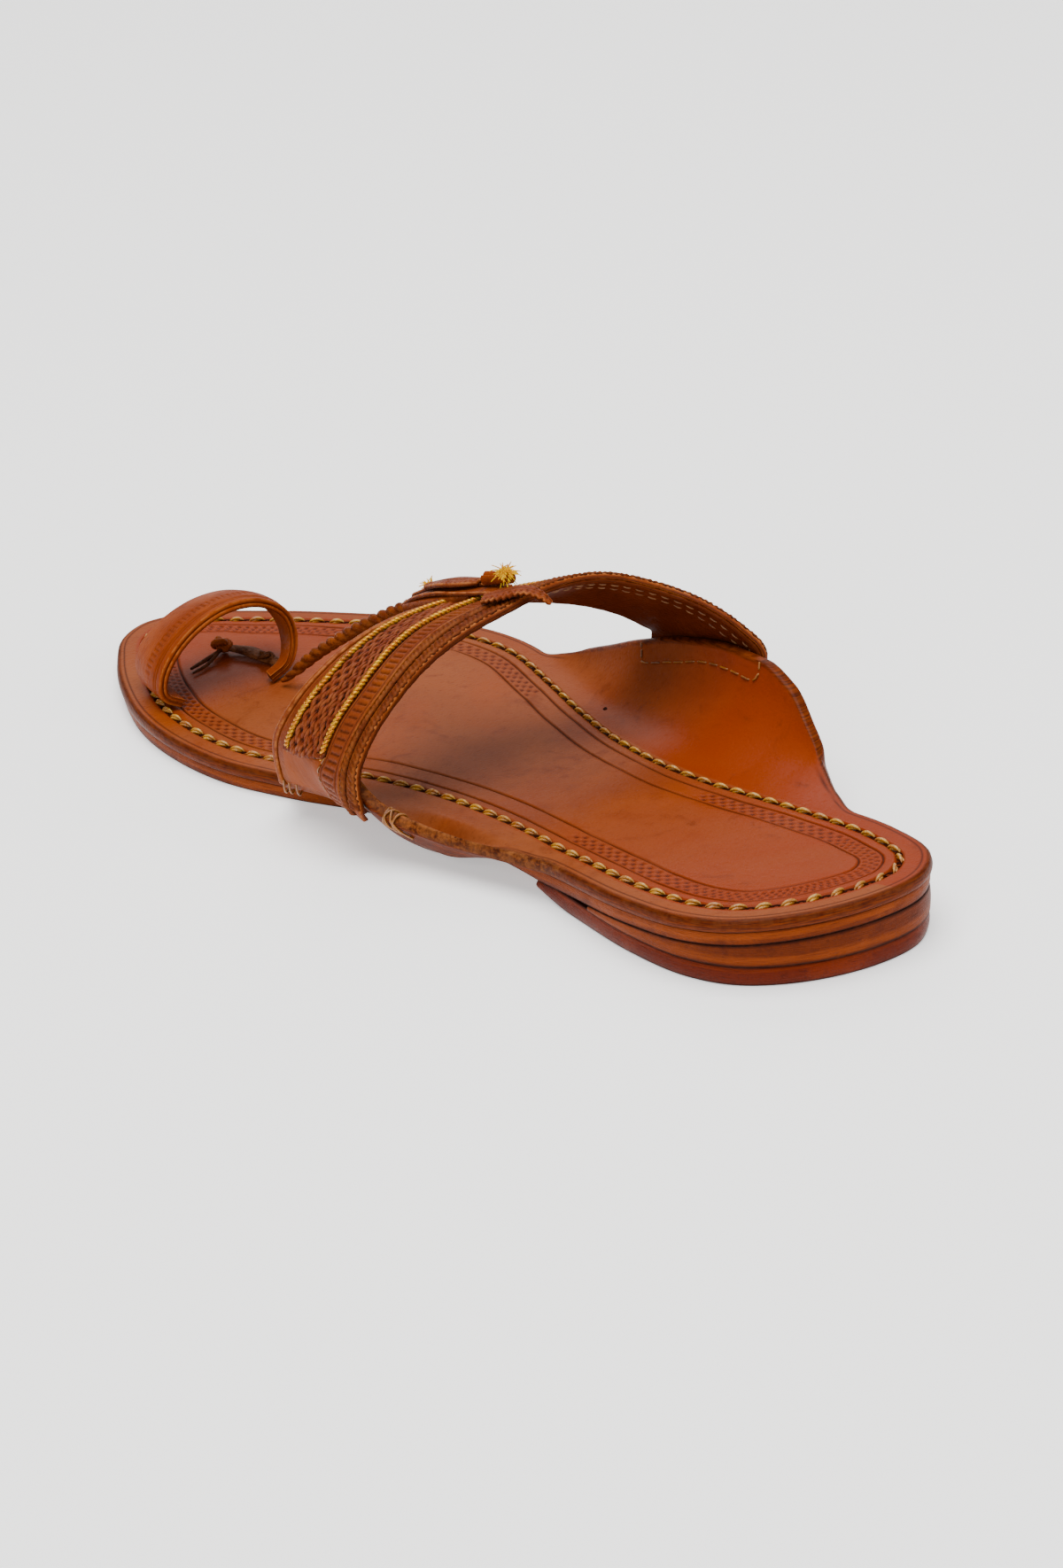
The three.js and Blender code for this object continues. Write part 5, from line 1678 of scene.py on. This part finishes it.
# %% Threads laid on an ear
def on_ear(inner, y, u, offset, bulge=0.0):
    """A place on an ear: `offset` goes through the leather, so a negative one stands above it."""
    y, u = np.broadcast_arrays(np.asarray(y, float), np.asarray(u, float))
    edge = np.stack([edge_x(inner, y), y], axis=-1)
    inward = np.zeros(y.shape + (1, 2))
    inward[..., 0] = -1.0 if inner else 1.0
    side = np.full(y.shape + (1,), inner)
    return ear_surface(side, edge[..., None, :], inward, u[..., None], np.asarray(offset, float),
                       bulge)[..., 0, :]


def box_thread():
    """Running stitches round three sides of a box on the outer ear: thread up for 3 mm, and
    down through the leather for 1.2 mm."""
    corners = np.array([(2.9, 0.97), (3.6, 0.86), (4.4, 0.79), (15.1, 0.805), (25.1, 0.845), (37.1, 0.85),
                        (45.8, 0.85), (46.9, 0.9), (46.9, 0.99)])
    route = spaced(curve_through(np.column_stack([corners * [1, 40], np.zeros(len(corners))])), 420)
    far = lengths(route)
    wave = 0.5 + 0.5 * np.cos(2 * np.pi * far / 4.2)
    offset = 0.5 - 0.75 * smooth(0.06, 0.4, wave)
    line = on_ear(False, route[:, 0], route[:, 1] / 40, offset[:, None])
    skin = Skin().add(tube(line, 0.26, (0, 0, 1), sides=6), wrap_m=True)
    skin.make("outer_ear_thread", OCHRE_THREAD, "insole_leather")


def awl_hole():
    """One awl hole in the outer ear, as painted shade: a dark button 1.1 mm in radius that follows the
    leather.
    """
    a = np.linspace(0, 2 * np.pi, 9)[:-1]
    reach, lift = np.array([[0, 0.12], [0.8, 0.1], [1.1, -0.1], [0.8, -0.3], [0, -0.32]]).T[..., None]
    round_it = np.stack([reach * np.cos(a), reach * np.sin(a), lift + 0 * a], axis=-1)
    shade_spot = Skin().add(on_ear(False, 1.1, 0.181, 0.1) + round_it, wrap_m=True, shade=1.0)
    shade_spot.make("ear_awl_hole_shade", HOLE_SHADE_FINISH, "insole_leather")


# A turn over the rim, as (u, how far under the skin, bulge), and one over the band's lower front,
# as (how far on along the band, t, height, lift).
OVER_RIM = [(0.84, -0.15, 0), (0.95, -0.35, 0), (1.0, 0.4, 0.5), (1.0, 2.6, 0.5), (0.94, 3.5, 0),
            (0.8, 3.3, 0)]
OVER_FRONT = [(0.03, 0.022, 0.9, 0), (0.015, 0.01, 1.5, 0), (0, 0, 1.1, -0.5), (-0.01, 0, -0.8, -0.5)]


def whipped_ties():
    """Turns of thread over the inner ear's raw rim, and others over the band's lower front."""
    skin = Skin()
    for y0, y1 in ((20.6, 22.4), (22.6, 21.0), (24.4, 23.2), (19.6, 25.6)):
        y = np.linspace(y0, y1, len(OVER_RIM))
        route = np.stack([on_ear(True, y[k], u, np.array([offset]), bulge)
                          for k, (u, offset, bulge) in enumerate(OVER_RIM)])
        skin.add(tube(spaced(curve_through(route), 30), 0.3, (0, 0, 1), sides=6), wrap_m=True)
    for s in (0.03, 0.075, 0.14):
        route = np.stack([on_band(s + on, t, height) + [0, 0, lift]
                          for on, t, height, lift in OVER_FRONT])
        skin.add(tube(spaced(curve_through(route), 22), 0.27, (0, 0, 1), sides=6), wrap_m=True)
    skin.make("whipped_ties", OCHRE_THREAD, "strap_leather")


box_thread()
awl_hole()
whipped_ties()
